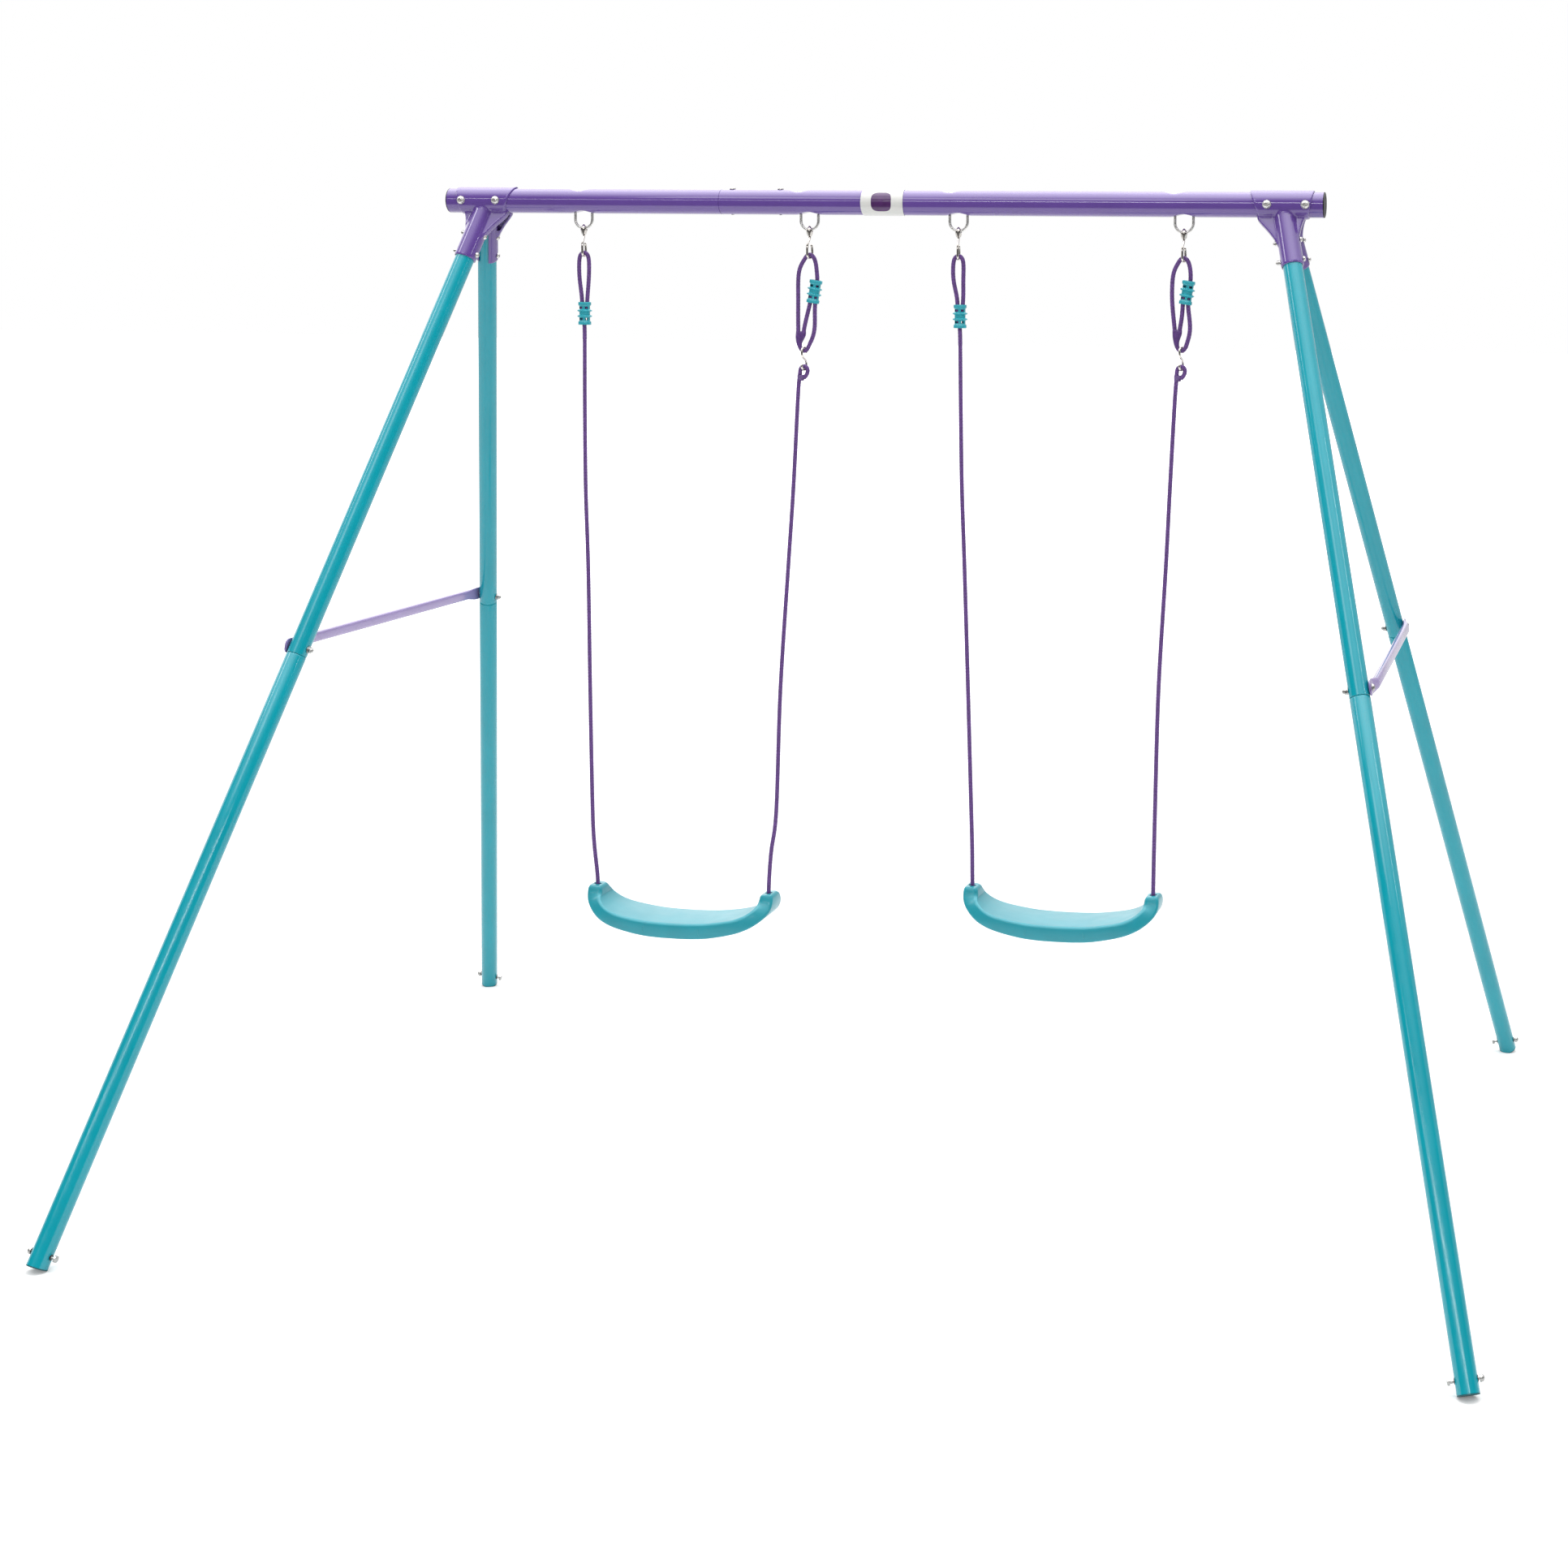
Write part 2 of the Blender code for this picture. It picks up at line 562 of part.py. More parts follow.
def bend(x, z, start, end):
    """Rope bent round a wire that runs front to back at (x, z)."""
    return arc((x, z), HOOK_WIRE_R + ROPE_R + 0.0014, start, end, 4)


HOOK_LOW = WIRE_Z - 0.0563      # axis of the hook wire at its lowest point
S_HIGH = 0.0225                 # S-hook centre to the wire axis at its top and bottom


LONG_ROPES = {1: [(-0.5852, 0.5065), (-0.5865, 0.5350), (-0.5925, 0.5900), (-0.5962, 0.6618), (-0.6003, 0.9148),
                  (-0.6033, 1.1661), (-0.6080, 1.3327), (-0.6090, 1.4986), (-0.6086, 1.6560)],
              3: [(0.2098, 0.5460), (0.2092, 0.5750), (0.2085, 0.6300), (0.2062, 0.7012), (0.1980, 0.9468),
                  (0.1893, 1.1910), (0.1829, 1.3529), (0.1797, 1.5141), (0.1774, 1.6600)]}


def build_ropes():
    for i, run in LONG_ROPES.items():
        hx = HANGER_X[i - 1]
        ax, az, lean = ADJUSTERS[i - 1]
        long_part = smooth(flat(run), 0.048)
        loop = [run[-1], (ax - 0.0020, az - 0.0120), (ax - 0.0047, az + 0.0010), (ax - 0.0050, az + 0.0180)]
        loop += [(ax - 0.0066, az + 0.0400), (hx - 0.0100, az + 0.0700)]
        loop += [(hx - 0.0108, HOOK_LOW - 0.0100)] + bend(hx, HOOK_LOW, 160, 20) + [(hx + 0.0108, HOOK_LOW - 0.0100)]
        loop += [(hx + 0.0100, az + 0.0700), (ax + 0.0066, az + 0.0400), (ax + 0.0050, az + 0.0180)]
        loop += [(ax + 0.0050, az + 0.0060)]
        rope(f"swing_rope_{i}", long_part[:-1] + smooth(flat(loop), 0.0096))
    tops = {"left": (2, [(-0.2172, 0.5065), (-0.2168, 0.5350), (-0.2120, 0.6000), (-0.2014, 0.6811),
                         (-0.1928, 0.9311), (-0.1766, 1.1795), (-0.1657, 1.3440), (-0.1574, 1.5075),
                         (-0.1545, 1.5560)]),
            "right": (4, [(0.5778, 0.5460), (0.5779, 0.5750), (0.5785, 0.6400), (0.5796, 0.7193),
                          (0.5838, 0.9623), (0.5955, 1.2037), (0.6020, 1.3635), (0.6090, 1.5226),
                          (0.6118, 1.5690)])}
    for side, (i, run) in tops.items():
        sx, sz = S_HOOKS[side]
        low = sz - S_HIGH
        eye = [run[-1], (sx - 0.0084, low - 0.0100)] + bend(sx, low, 180, 0) + [(sx + 0.0072, low - 0.0075)]
        rope(f"swing_rope_{i}", smooth(flat(run), 0.048)[:-1] + smooth(flat(eye), 0.0062))
    loops = {"left": (2, [(-0.1218, 1.6923), (-0.1212, 1.6693), (-0.1245, 1.6463), (-0.1320, 1.6330)],
                      [(-0.1550, 1.6340), (-0.1566, 1.6450), (-0.1560, 1.6550), (-0.1564, 1.6872),
                       (-0.1562, 1.7240), (-0.1564, 1.7600), (-0.1535, 1.7850), (-0.1445, 1.7980)],
                      [(-0.1205, 1.7980), (-0.1180, 1.7860), (-0.1178, 1.7700)],
                      [(-0.1357, 1.6967), (-0.1404, 1.6782), (-0.1440, 1.6620), (-0.1449, 1.6520)]),
             "right": (4, [(0.6353, 1.7022), (0.6380, 1.6799), (0.6380, 1.6640), (0.6325, 1.6460)],
                       [(0.6105, 1.6460), (0.6085, 1.6560), (0.6078, 1.6700), (0.6045, 1.6973), (0.6015, 1.7331),
                        (0.6022, 1.7700), (0.6050, 1.7880), (0.6120, 1.7980)],
                       [(0.6350, 1.7980), (0.6380, 1.7880), (0.6375, 1.7760)],
                       [(0.6224, 1.7020), (0.6207, 1.6886), (0.6182, 1.6760), (0.6172, 1.6660)])}
    for side, (i, low_right, high_left, high_right, tail) in loops.items():
        hx = HANGER_X[i - 1]
        ax, az, lean = ADJUSTERS[i - 1]
        sx, sz = S_HOOKS[side]
        a = radians(lean)

        def lane(p, t):
            return (ax + p * cos(a) + t * sin(a), az - p * sin(a) + t * cos(a))

        path = [lane(0.0050, -0.0060), lane(0.0050, -0.0232)] + low_right + bend(sx, sz + S_HIGH, -25, -155) + high_left
        path += bend(hx, HOOK_LOW, 160, 20) + high_right + [lane(0.0042, 0.0232), lane(0.0036, 0.0120), lane(-0.0030, 0.0030)]
        path += [lane(-0.0050, -0.0080), lane(-0.0050, -0.0232)] + tail
        rope(f"loop_rope_{side}", smooth(flat(path), 0.0100))


# ---------------------------------------------------------------- looks and structure
PAINTS = {
    "purple": ((0.13, 0.05, 0.27), 0.22, 0.0), "teal": ((0.02, 0.28, 0.33), 0.25, 0.0),
    "lavender": ((0.42, 0.34, 0.62), 0.35, 0.0), "black": ((0.02, 0.02, 0.022), 0.5, 0.0),
    "film": ((0.70, 0.68, 0.76), 0.3, 0.0), "zinc": ((0.70, 0.70, 0.72), 0.32, 1.0),
    "chrome": ((0.80, 0.80, 0.82), 0.12, 1.0), "cyan": ((0.08, 0.50, 0.58), 0.35, 0.0),
    "moulding": ((0.04, 0.38, 0.43), 0.35, 0.0), "cord": ((0.11, 0.04, 0.21), 0.8, 0.0)}
LOOKS = (("bar_cap", "black"), ("bar_label", "film"), ("bar", "purple"), ("bracket_bolt", "zinc"),
         ("bracket", "purple"), ("brace_bolt", "zinc"), ("brace", "lavender"), ("leg", "teal"),
         ("foot_cap", "black"), ("seat", "cyan"), ("rope_adjuster", "moulding"), ("swing_hook", "chrome"),
         ("s_hook", "chrome"), ("swing_rope", "cord"), ("loop_rope", "cord"), ("", "zinc"))
SWING_PARTS = {"left": ("swing_hook_1", "swing_hook_2", "rope_adjuster_1", "rope_adjuster_2", "swing_rope_1",
                        "swing_rope_2", "s_hook_left", "loop_rope_left"),
               "right": ("swing_hook_3", "swing_hook_4", "rope_adjuster_3", "rope_adjuster_4", "swing_rope_3",
                         "swing_rope_4", "s_hook_right", "loop_rope_right")}


def paint(name):
    colour, roughness, metallic = PAINTS[name]
    mat = bpy.data.materials.new(name)
    mat.use_nodes = True
    shader = mat.node_tree.nodes["Principled BSDF"]
    shader.inputs["Base Color"].default_value = (*colour, 1)
    shader.inputs["Roughness"].default_value = roughness
    shader.inputs["Metallic"].default_value = metallic
    return mat


def empty(name, place, parent=None):
    obj = bpy.data.objects.new(name, None)
    bpy.context.collection.objects.link(obj)
    obj.parent = parent
    obj.location = place - (parent.location if parent else Vector((0, 0, 0)))
    return obj


def hang(obj, parent, origin):
    """Give a piece its origin at a point and a parent, leaving it where it is."""
    shift = obj.data.copy()
    for i, point in enumerate(points_of(shift)):
        point.co = [*(Vector(point.co[:3]) - origin), *point.co[3:]]
    obj.data = shift
    obj.parent = parent
    obj.location = origin - parent.matrix_world.translation


def points_of(data):
    return data.vertices if hasattr(data, "vertices") else data.splines[0].points


def dress():
    paints = {name: paint(name) for name in PAINTS}
    pieces = [obj for obj in bpy.data.objects if obj.type in ("MESH", "CURVE")]
    frame = empty("frame", Vector((0, 0, 0)))
    parents = {}
    for side, (cx, mouth) in SEATS.items():
        pivot = empty(f"{side}_swing_pivot", Vector((cx, 0, WIRE_Z)), frame)
        bpy.context.view_layer.update()
        parents[f"seat_{side}"] = (pivot, Vector((cx, 0, mouth - 0.002)))
        for name in SWING_PARTS[side]:
            parents[name] = (pivot, Vector((cx, 0, WIRE_Z)))
    for obj in pieces:
        look = next(kind for prefix, kind in LOOKS if obj.name.startswith(prefix))
        obj.data.materials.clear()
        obj.data.materials.append(paints[look])
        parent, origin = parents.get(obj.name, (frame, Vector((0, 0, 0))))
        hang(obj, parent, origin)
        if obj.type == "MESH":
            obj.data.shade_smooth()
            obj.data.set_sharp_from_angle(angle=radians(35))


def main():
    clear_scene()
    build_bar()
    build_legs()
    build_brackets()
    build_braces()
    build_hangers()
    build_adjusters()
    build_s_hooks()
    build_seats()
    build_ropes()
    dress()


main()
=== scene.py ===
"""Looks of the double swing set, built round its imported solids.

Metres, +Z up, +X along the bar, -Y to the front; the origin is on the ground under the middle of the bar.
"""
from math import cos, exp, log, pi, radians, sin

import bmesh
import bpy
import numpy as np
from mathutils import Matrix, Vector


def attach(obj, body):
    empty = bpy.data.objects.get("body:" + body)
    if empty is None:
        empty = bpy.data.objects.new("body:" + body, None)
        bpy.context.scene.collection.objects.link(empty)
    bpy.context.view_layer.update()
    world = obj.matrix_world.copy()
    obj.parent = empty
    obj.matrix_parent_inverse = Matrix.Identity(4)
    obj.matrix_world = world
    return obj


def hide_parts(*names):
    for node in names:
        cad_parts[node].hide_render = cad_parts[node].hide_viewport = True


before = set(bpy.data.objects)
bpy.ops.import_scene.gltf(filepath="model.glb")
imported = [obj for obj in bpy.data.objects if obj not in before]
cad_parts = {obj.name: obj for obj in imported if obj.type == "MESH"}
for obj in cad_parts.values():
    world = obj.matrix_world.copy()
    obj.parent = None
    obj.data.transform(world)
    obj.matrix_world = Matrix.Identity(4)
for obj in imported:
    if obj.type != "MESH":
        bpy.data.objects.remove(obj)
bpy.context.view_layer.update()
scene = bpy.context.scene

# ---- sizes shared with the solids
GAP = 0.0003                    # clearance between pieces
WALL = 0.0015
BAR_R = 0.025
BAR_HALF = 0.8955
AXIS_Z = 1.9140
SPLICE_X = -0.315
SPIGOT = 0.130
HANGER_X = (-0.6091, -0.1325, 0.1732, 0.6238)
DENT_TOP = (-0.006, -0.0205, -0.016, -0.019)
DENT_HALF = 0.029
DENT_DEEP = 0.0052
LEG_R = 0.019
LEG_TOP = Vector((0.8222, -0.0085, 1.8857))
LEG_FOOT = Vector((1.2541, -0.9194, 0.0065))
LEG_START = 0.036
SOCKET_END = 0.103
LEG_SPLICE = 0.967
BRACE_BOLT = 0.952
ANCHOR_UP = 0.024
CAP_LIP = 0.0022
SLEEVE_R = 0.0283
SOCKET_R = 0.0222
BRACKET_BOLTS = (0.788, 0.862)
SOCKET_SCREWS = (0.048, 0.090)  # along a leg from its top
SPLICE_BOLTS = (0.022, 0.122)   # from the end of the bar's left tube
BRACE_SHEET = 0.0014
MELT_VOXEL = 0.0012             # how finely a bracket's fillets are remeshed
MELT_PASSES = 32
WIRE_R = 0.0029
WIRE_Z = 1.8591
UBOLT_R = 0.018
HOOK_WIRE_R = 0.0024
HOOK_YAW = (0.0, -17.0, 4.0, -11.0)
HOOK_LOW = WIRE_Z - 0.0563
S_HIGH = 0.0225
ROPE_R = 0.0046
LOOK_R = 0.0043                 # the braid sinks a little into its plain solid
ROPE_STEP = 0.0013              # spacing of the points along a rope
SEAT_HALF = 0.184
SEAT_ROUND = 0.009              # length of a seat's rounded ends
SEAT_WALL = 0.0036
SEATS = {"left": (-0.4012, 0.5125), "right": (0.3938, 0.5520)}
SIDES = {"left": -1, "right": 1}
ENDS = {"front": 1, "rear": -1}
SWING = {1: "left_swing", 2: "left_swing", 3: "right_swing", 4: "right_swing"}
X_AXIS, Y_AXIS, Z_AXIS = Vector((1, 0, 0)), Vector((0, 1, 0)), Vector((0, 0, 1))


# ---- camera, light and floor
def link(name, data):
    obj = bpy.data.objects.new(name, data)
    scene.collection.objects.link(obj)
    return obj


def fill(node, values):
    for key, value in values.items():
        node.inputs[key].default_value = value


def build_camera():
    yaw, pitch, roll = 0.1777, 0.0707, 0.011
    ahead = Vector((-sin(yaw) * cos(pitch), cos(yaw) * cos(pitch), -sin(pitch)))
    level = Vector((cos(yaw), sin(yaw), 0))
    above = level.cross(ahead)
    right = level * cos(roll) + above * sin(roll)
    up = above * cos(roll) - level * sin(roll)
    data = bpy.data.cameras.new("camera")
    data.sensor_width = 36
    data.lens = 57.25
    data.shift_x, data.shift_y = -0.2285, -0.2081
    data.clip_end = 200
    cam = link("camera", data)
    axes = Matrix((right, up, -ahead)).transposed().to_4x4()
    cam.matrix_world = Matrix.Translation((1.4074, -4.7947, 1.7646)) @ axes
    scene.camera = cam


def area_light(name, place, target, size, radiance):
    """A soft box of a given brightness that no camera sees."""
    data = bpy.data.lights.new(name, "AREA")
    data.shape = "RECTANGLE"
    data.size, data.size_y = size
    data.energy = radiance * pi * size[0] * size[1]
    obj = link(name, data)
    obj.location = place
    obj.rotation_euler = (Vector(target) - Vector(place)).to_track_quat("-Z", "Y").to_euler()
    obj.visible_camera = False
    return obj


def ramp(tree, source, stops):
    node = tree.nodes.new("ShaderNodeValToRGB")
    while len(node.color_ramp.elements) < len(stops):
        node.color_ramp.elements.new(0.5)
    for element, (place, value) in zip(node.color_ramp.elements, stops):
        element.position = place
        element.color = (value, value, value, 1)
    tree.links.new(source, node.inputs[0])
    return node.outputs[0]


def remap(tree, source, from_low, from_high, to_low, to_high):
    node = tree.nodes.new("ShaderNodeMapRange")
    fill(node, {"From Min": from_low, "From Max": from_high, "To Min": to_low, "To Max": to_high})
    tree.links.new(source, node.inputs["Value"])
    return node.outputs["Result"]


def blend_in(tree, factor, first, second):
    node = tree.nodes.new("ShaderNodeMix")
    node.data_type = "RGBA"
    for socket, source in ((node.inputs[0], factor), (node.inputs[6], first), (node.inputs[7], second)):
        if isinstance(source, float):
            socket.default_value = (source, source, source, 1)
        else:
            tree.links.new(source, socket)
    return node.outputs[2]


def build_world():
    """White to the camera, soft light on the pieces, and a dark studio in front for reflections."""
    world = bpy.data.worlds.new("studio")
    scene.world = world
    world.use_nodes = True
    tree = world.node_tree
    tree.nodes.clear()
    coords = tree.nodes.new("ShaderNodeTexCoord")
    split = tree.nodes.new("ShaderNodeSeparateXYZ")
    halves = tree.nodes.new("ShaderNodeVectorMath")
    halves.operation = "MULTIPLY_ADD"
    fill(halves, {1: (0.5, 0.5, 0.5), 2: (0.5, 0.5, 0.5)})
    tree.links.new(coords.outputs["Generated"], halves.inputs[0])
    tree.links.new(halves.outputs[0], split.inputs[0])
    height, depth = split.outputs["Z"], split.outputs["Y"]
    soft = ramp(tree, height, ((0.0, 0.60), (0.50, 0.54), (0.75, 0.78), (1.0, 1.0)))
    front = ramp(tree, height, ((0.0, 0.05), (0.71, 0.05), (0.78, 0.40), (0.85, 1.7), (0.93, 3.6), (1.0, 5.0)))
    left_behind = ramp(tree, height, ((0.0, 1.3), (0.5, 1.5), (0.80, 2.2), (0.93, 4.6), (1.0, 5.0)))
    right_behind = ramp(tree, height, ((0.0, 0.55), (0.5, 0.55), (0.80, 1.3), (0.93, 4.2), (1.0, 5.0)))
    behind = blend_in(tree, ramp(tree, split.outputs["X"], ((0.35, 0.0), (0.65, 1.0))), left_behind, right_behind)
    mirrored = blend_in(tree, ramp(tree, depth, ((0.47, 0.0), (0.60, 1.0))), front, behind)
    path = tree.nodes.new("ShaderNodeLightPath")
    lit = blend_in(tree, path.outputs["Is Glossy Ray"], soft, mirrored)
    seen = blend_in(tree, path.outputs["Is Camera Ray"], lit, 1.0)
    glow = tree.nodes.new("ShaderNodeBackground")
    out = tree.nodes.new("ShaderNodeOutputWorld")
    tree.links.new(seen, glow.inputs["Color"])
    tree.links.new(glow.outputs[0], out.inputs[0])


def build_floor():
    """A white sweep near the set that turns dark, in reflections only, well in front of it."""
    floor = mesh_object("floor", [(-60, -60, 0), (60, -60, 0), (60, 60, 0), (-60, 60, 0)], [(0, 1, 2, 3)])
    mat = bpy.data.materials.new("floor")
    mat.use_nodes = True
    tree = mat.node_tree
    shader = tree.nodes["Principled BSDF"]
    fill(shader, {"Roughness": 0.9, "Specular IOR Level": 0.0, "Emission Color": (1, 1, 1, 1)})
    split = tree.nodes.new("ShaderNodeSeparateXYZ")
    tree.links.new(tree.nodes.new("ShaderNodeTexCoord").outputs["Object"], split.inputs[0])
    reflected = remap(tree, split.outputs["Y"], -2.6, -1.8, 0.06, 0.95)
    path = tree.nodes.new("ShaderNodeLightPath")
    colour = blend_in(tree, path.outputs["Is Glossy Ray"], 0.88, reflected)
    tree.links.new(colour, shader.inputs["Base Color"])
    span = tree.nodes.new("ShaderNodeVectorMath")
    span.operation = "LENGTH"
    tree.links.new(split.inputs[0].links[0].from_socket, span.inputs[0])
    fade = remap(tree, span.outputs["Value"], 2.5, 9.0, 0.15, 1.0)
    glow = tree.nodes.new("ShaderNodeMath")
    glow.operation = "MULTIPLY"
    tree.links.new(path.outputs["Is Camera Ray"], glow.inputs[0])
    tree.links.new(fade, glow.inputs[1])
    tree.links.new(glow.outputs[0], shader.inputs["Emission Strength"])
    floor.data.materials.append(mat)


def build_studio():
    build_world()
    build_floor()
    overhead = area_light("overhead", (0.2, 0.1, 5.2), (0.2, 0, 0), (7.0, 3.0), 3.4)
    overhead.visible_glossy = False
    area_light("strip_near", (0.9, -7.0, 3.62), (0.4, 0, 1.9), (6.0, 0.34), 11)
    area_light("strip_far", (-3.9, -7.0, 3.62), (-1.5, 0, 1.9), (3.4, 0.34), 6)
    area_light("side_left", (-4.8, -1.6, 5.0), (0.5, 0, 1.6), (1.2, 1.9), 5.0)
    area_light("side_right", (4.8, -1.0, 3.9), (0.8, 0, 1.7), (0.20, 1.9), 15)
    area_light("front", (-2.0, -6.5, 6.6), (0, 0, 1.0), (3.0, 2.0), 2.6)
    scene.view_settings.view_transform = "Standard"


# ---- materials
class Finish:
    """A Principled material with noise-driven colour, roughness and bump in the piece's own coordinates."""

    def __init__(self, name, colour, roughness, metallic=0.0, coat=0.0):
        self.mat = bpy.data.materials.new(name)
        self.mat.use_nodes = True
        self.tree = self.mat.node_tree
        self.shader = self.tree.nodes["Principled BSDF"]
        fill(self.shader, {"Base Color": (*colour, 1), "Roughness": roughness, "Metallic": metallic,
                           "Coat Weight": coat, "Coat Roughness": 0.06})
        self.coords = self.tree.nodes.new("ShaderNodeTexCoord")
        self.colour = colour

    def noise(self, scale, detail=3.0, stretch=None):
        node = self.tree.nodes.new("ShaderNodeTexNoise")
        fill(node, {"Scale": scale, "Detail": detail})
        source = self.coords.outputs["Object"]
        if stretch:
            mapping = self.tree.nodes.new("ShaderNodeMapping")
            mapping.inputs["Scale"].default_value = stretch
            self.tree.links.new(source, mapping.inputs["Vector"])
            source = mapping.outputs["Vector"]
        self.tree.links.new(source, node.inputs["Vector"])
        return node.outputs["Fac"]

    def between(self, value, low, high):
        return remap(self.tree, value, 0.3, 0.7, low, high)

    def mottle(self, scale, darker, lighter, detail=3.0, stretch=None):
        node = self.tree.nodes.new("ShaderNodeMix")
        node.data_type = "RGBA"
        node.inputs[6].default_value = (*[c * darker for c in self.colour], 1)
        node.inputs[7].default_value = (*[min(1, c * lighter) for c in self.colour], 1)
        self.tree.links.new(self.between(self.noise(scale, detail, stretch), 0, 1), node.inputs[0])
        self.tree.links.new(node.outputs[2], self.shader.inputs["Base Color"])
        return self

    def sheen_spread(self, scale, low, high):
        value = self.between(self.noise(scale, 2.0), low, high)
        self.tree.links.new(value, self.shader.inputs["Roughness"])
        return self

    def bump(self, scale, distance, strength=0.5, detail=2.0, stretch=None):
        node = self.tree.nodes.new("ShaderNodeBump")
        fill(node, {"Strength": strength, "Distance": distance})
        self.tree.links.new(self.noise(scale, detail, stretch), node.inputs["Height"])
        self.tree.links.new(node.outputs["Normal"], self.shader.inputs["Normal"])
        return self


def build_finishes():
    made = {}
    made["bar_paint"] = Finish("purple_powder_coat", (0.098, 0.050, 0.235), 0.10, coat=0.6)
    made["leg_paint"] = Finish("teal_powder_coat", (0.001, 0.262, 0.325), 0.16, coat=0.12)
    made["brace_paint"] = Finish("lavender_powder_coat", (0.250, 0.185, 0.400), 0.18, coat=0.4)
    for key, low, high in (("bar_paint", 0.08, 0.13), ("leg_paint", 0.13, 0.20), ("brace_paint", 0.15, 0.21)):
        made[key].mottle(9, 0.96, 1.04).sheen_spread(45, low, high).bump(300, 0.00003, 0.12)
    made["cap_plastic"] = Finish("black_plastic", (0.010, 0.010, 0.011), 0.45)
    made["cap_plastic"].mottle(60, 0.8, 1.3).bump(900, 0.00008, 0.4)
    made["foot_plastic"] = Finish("dark_teal_plastic", (0.003, 0.070, 0.085), 0.50)
    made["label_film"] = Finish("plain_film", (0.55, 0.55, 0.53), 0.30, coat=0.15).mottle(30, 0.98, 1.02)
    made["label_print"] = Finish("printed_patch", (0.055, 0.012, 0.085), 0.25, coat=0.3).mottle(80, 0.85, 1.2)
    made["zinc"] = Finish("zinc_plate", (0.64, 0.63, 0.61), 0.26, metallic=0.72)
    made["zinc"].mottle(150, 0.88, 1.08, 2.0).sheen_spread(220, 0.20, 0.34)
    made["dull_zinc"] = Finish("dull_zinc_plate", (0.40, 0.40, 0.39), 0.30, metallic=0.85)
    made["dull_zinc"].mottle(150, 0.85, 1.1, 2.0)
    made["chrome"] = Finish("bright_plate", (0.66, 0.62, 0.58), 0.12, metallic=0.93)
    made["chrome"].mottle(200, 0.86, 1.08).sheen_spread(260, 0.10, 0.2)
    made["adjuster_plastic"] = Finish("teal_moulding", (0.012, 0.285, 0.345), 0.36, coat=0.15)
    made["adjuster_plastic"].mottle(120, 0.92, 1.08).bump(1100, 0.00005, 0.4)
    made["seat_plastic"] = Finish("cyan_moulding", (0.010, 0.243, 0.298), 0.30, coat=0.10)
    made["seat_plastic"].mottle(16, 0.95, 1.05).sheen_spread(30, 0.28, 0.34).bump(420, 0.00003, 0.12)
    fill(made["seat_plastic"].shader, {"Subsurface Weight": 0.15, "Subsurface Radius": (0.004, 0.012, 0.014),
                                       "Subsurface Scale": 1.0})
    made["rope"] = Finish("purple_braid", (0.080, 0.029, 0.152), 0.60)
    made["rope"].mottle(900, 0.45, 1.75, 1.0, (1, 1, 0.6)).bump(2600, 0.00018, 0.5, 2.0, (1, 1, 0.4))
    fill(made["rope"].shader, {"Sheen Weight": 0.25, "Sheen Roughness": 0.4, "Sheen Tint": (0.75, 0.6, 0.9, 1)})
    made["sleeve"] = Finish("shrink_sleeve", (0.076, 0.028, 0.150), 0.36, coat=0.1)
    made["sleeve"].mottle(160, 0.85, 1.2).bump(900, 0.0002, 0.4)
    return made


# ---- mesh helpers
def mesh_object(name, verts, faces):
    mesh = bpy.data.meshes.new(name)
    mesh.from_pydata([tuple(v) for v in verts], [], faces)
    return link(name, mesh)


def tidy(obj):
    mesh = bmesh.new()
    mesh.from_mesh(obj.data)
    bmesh.ops.remove_doubles(mesh, verts=mesh.verts, dist=1e-6)
    bmesh.ops.recalc_face_normals(mesh, faces=mesh.faces)
    if mesh.calc_volume(signed=True) < 0:
        bmesh.ops.reverse_faces(mesh, faces=mesh.faces)
    mesh.to_mesh(obj.data)
    mesh.free()


def shade(obj, sharp=38):
    obj.data.shade_smooth()
    obj.data.set_sharp_from_angle(angle=radians(sharp))


def skin(name, rings, closed=False, sharp=38):
    """Join rings of equal length; closed makes a hollow loop, otherwise both ends are capped."""
    count = len(rings[0])
    verts = [p for ring in rings for p in ring]
    faces = []
    for i in range(len(rings) if closed else len(rings) - 1):
        a, b = i * count, ((i + 1) % len(rings)) * count
        faces += [(a + j, a + (j + 1) % count, b + (j + 1) % count, b + j) for j in range(count)]
    if not closed:
        faces.append(tuple(reversed(range(count))))
        faces.append(tuple(range((len(rings) - 1) * count, len(rings) * count)))
    obj = mesh_object(name, verts, faces)
    tidy(obj)
    shade(obj, sharp)
    return obj


def apply_modifiers(obj):
    bpy.context.view_layer.update()
    graph = bpy.context.evaluated_depsgraph_get()
    mesh = bpy.data.meshes.new_from_object(obj.evaluated_get(graph))
    obj.modifiers.clear()
    obj.data = mesh


def boolean(target, tool, operation="DIFFERENCE"):
    mod = target.modifiers.new("step", "BOOLEAN")
    mod.operation = operation
    mod.solver = "EXACT"
    mod.object = tool
    apply_modifiers(target)
    bpy.data.objects.remove(tool)


def side_axes(axis, hint=X_AXIS):
    w = axis.normalized()
    if abs(w.dot(hint)) > 0.99:
        hint = Y_AXIS
    u = (hint - w * hint.dot(w)).normalized()
    return u, w.cross(u)


def circle(centre, u, v, radius, sides):
    steps = [2 * pi * k / sides for k in range(sides)]
    return [centre + u * (radius * cos(a)) + v * (radius * sin(a)) for a in steps]


def hexagon(centre, u, v, radius, sides):
    """A ring of any count that lies on a hexagon; radius is across its flats, halved."""
    ring = []
    for k in range(sides):
        a = 2 * pi * k / sides
        r = radius / cos((a + pi / 6) % (pi / 3) - pi / 6)
        ring.append(centre + u * (r * cos(a)) + v * (r * sin(a)))
    return ring


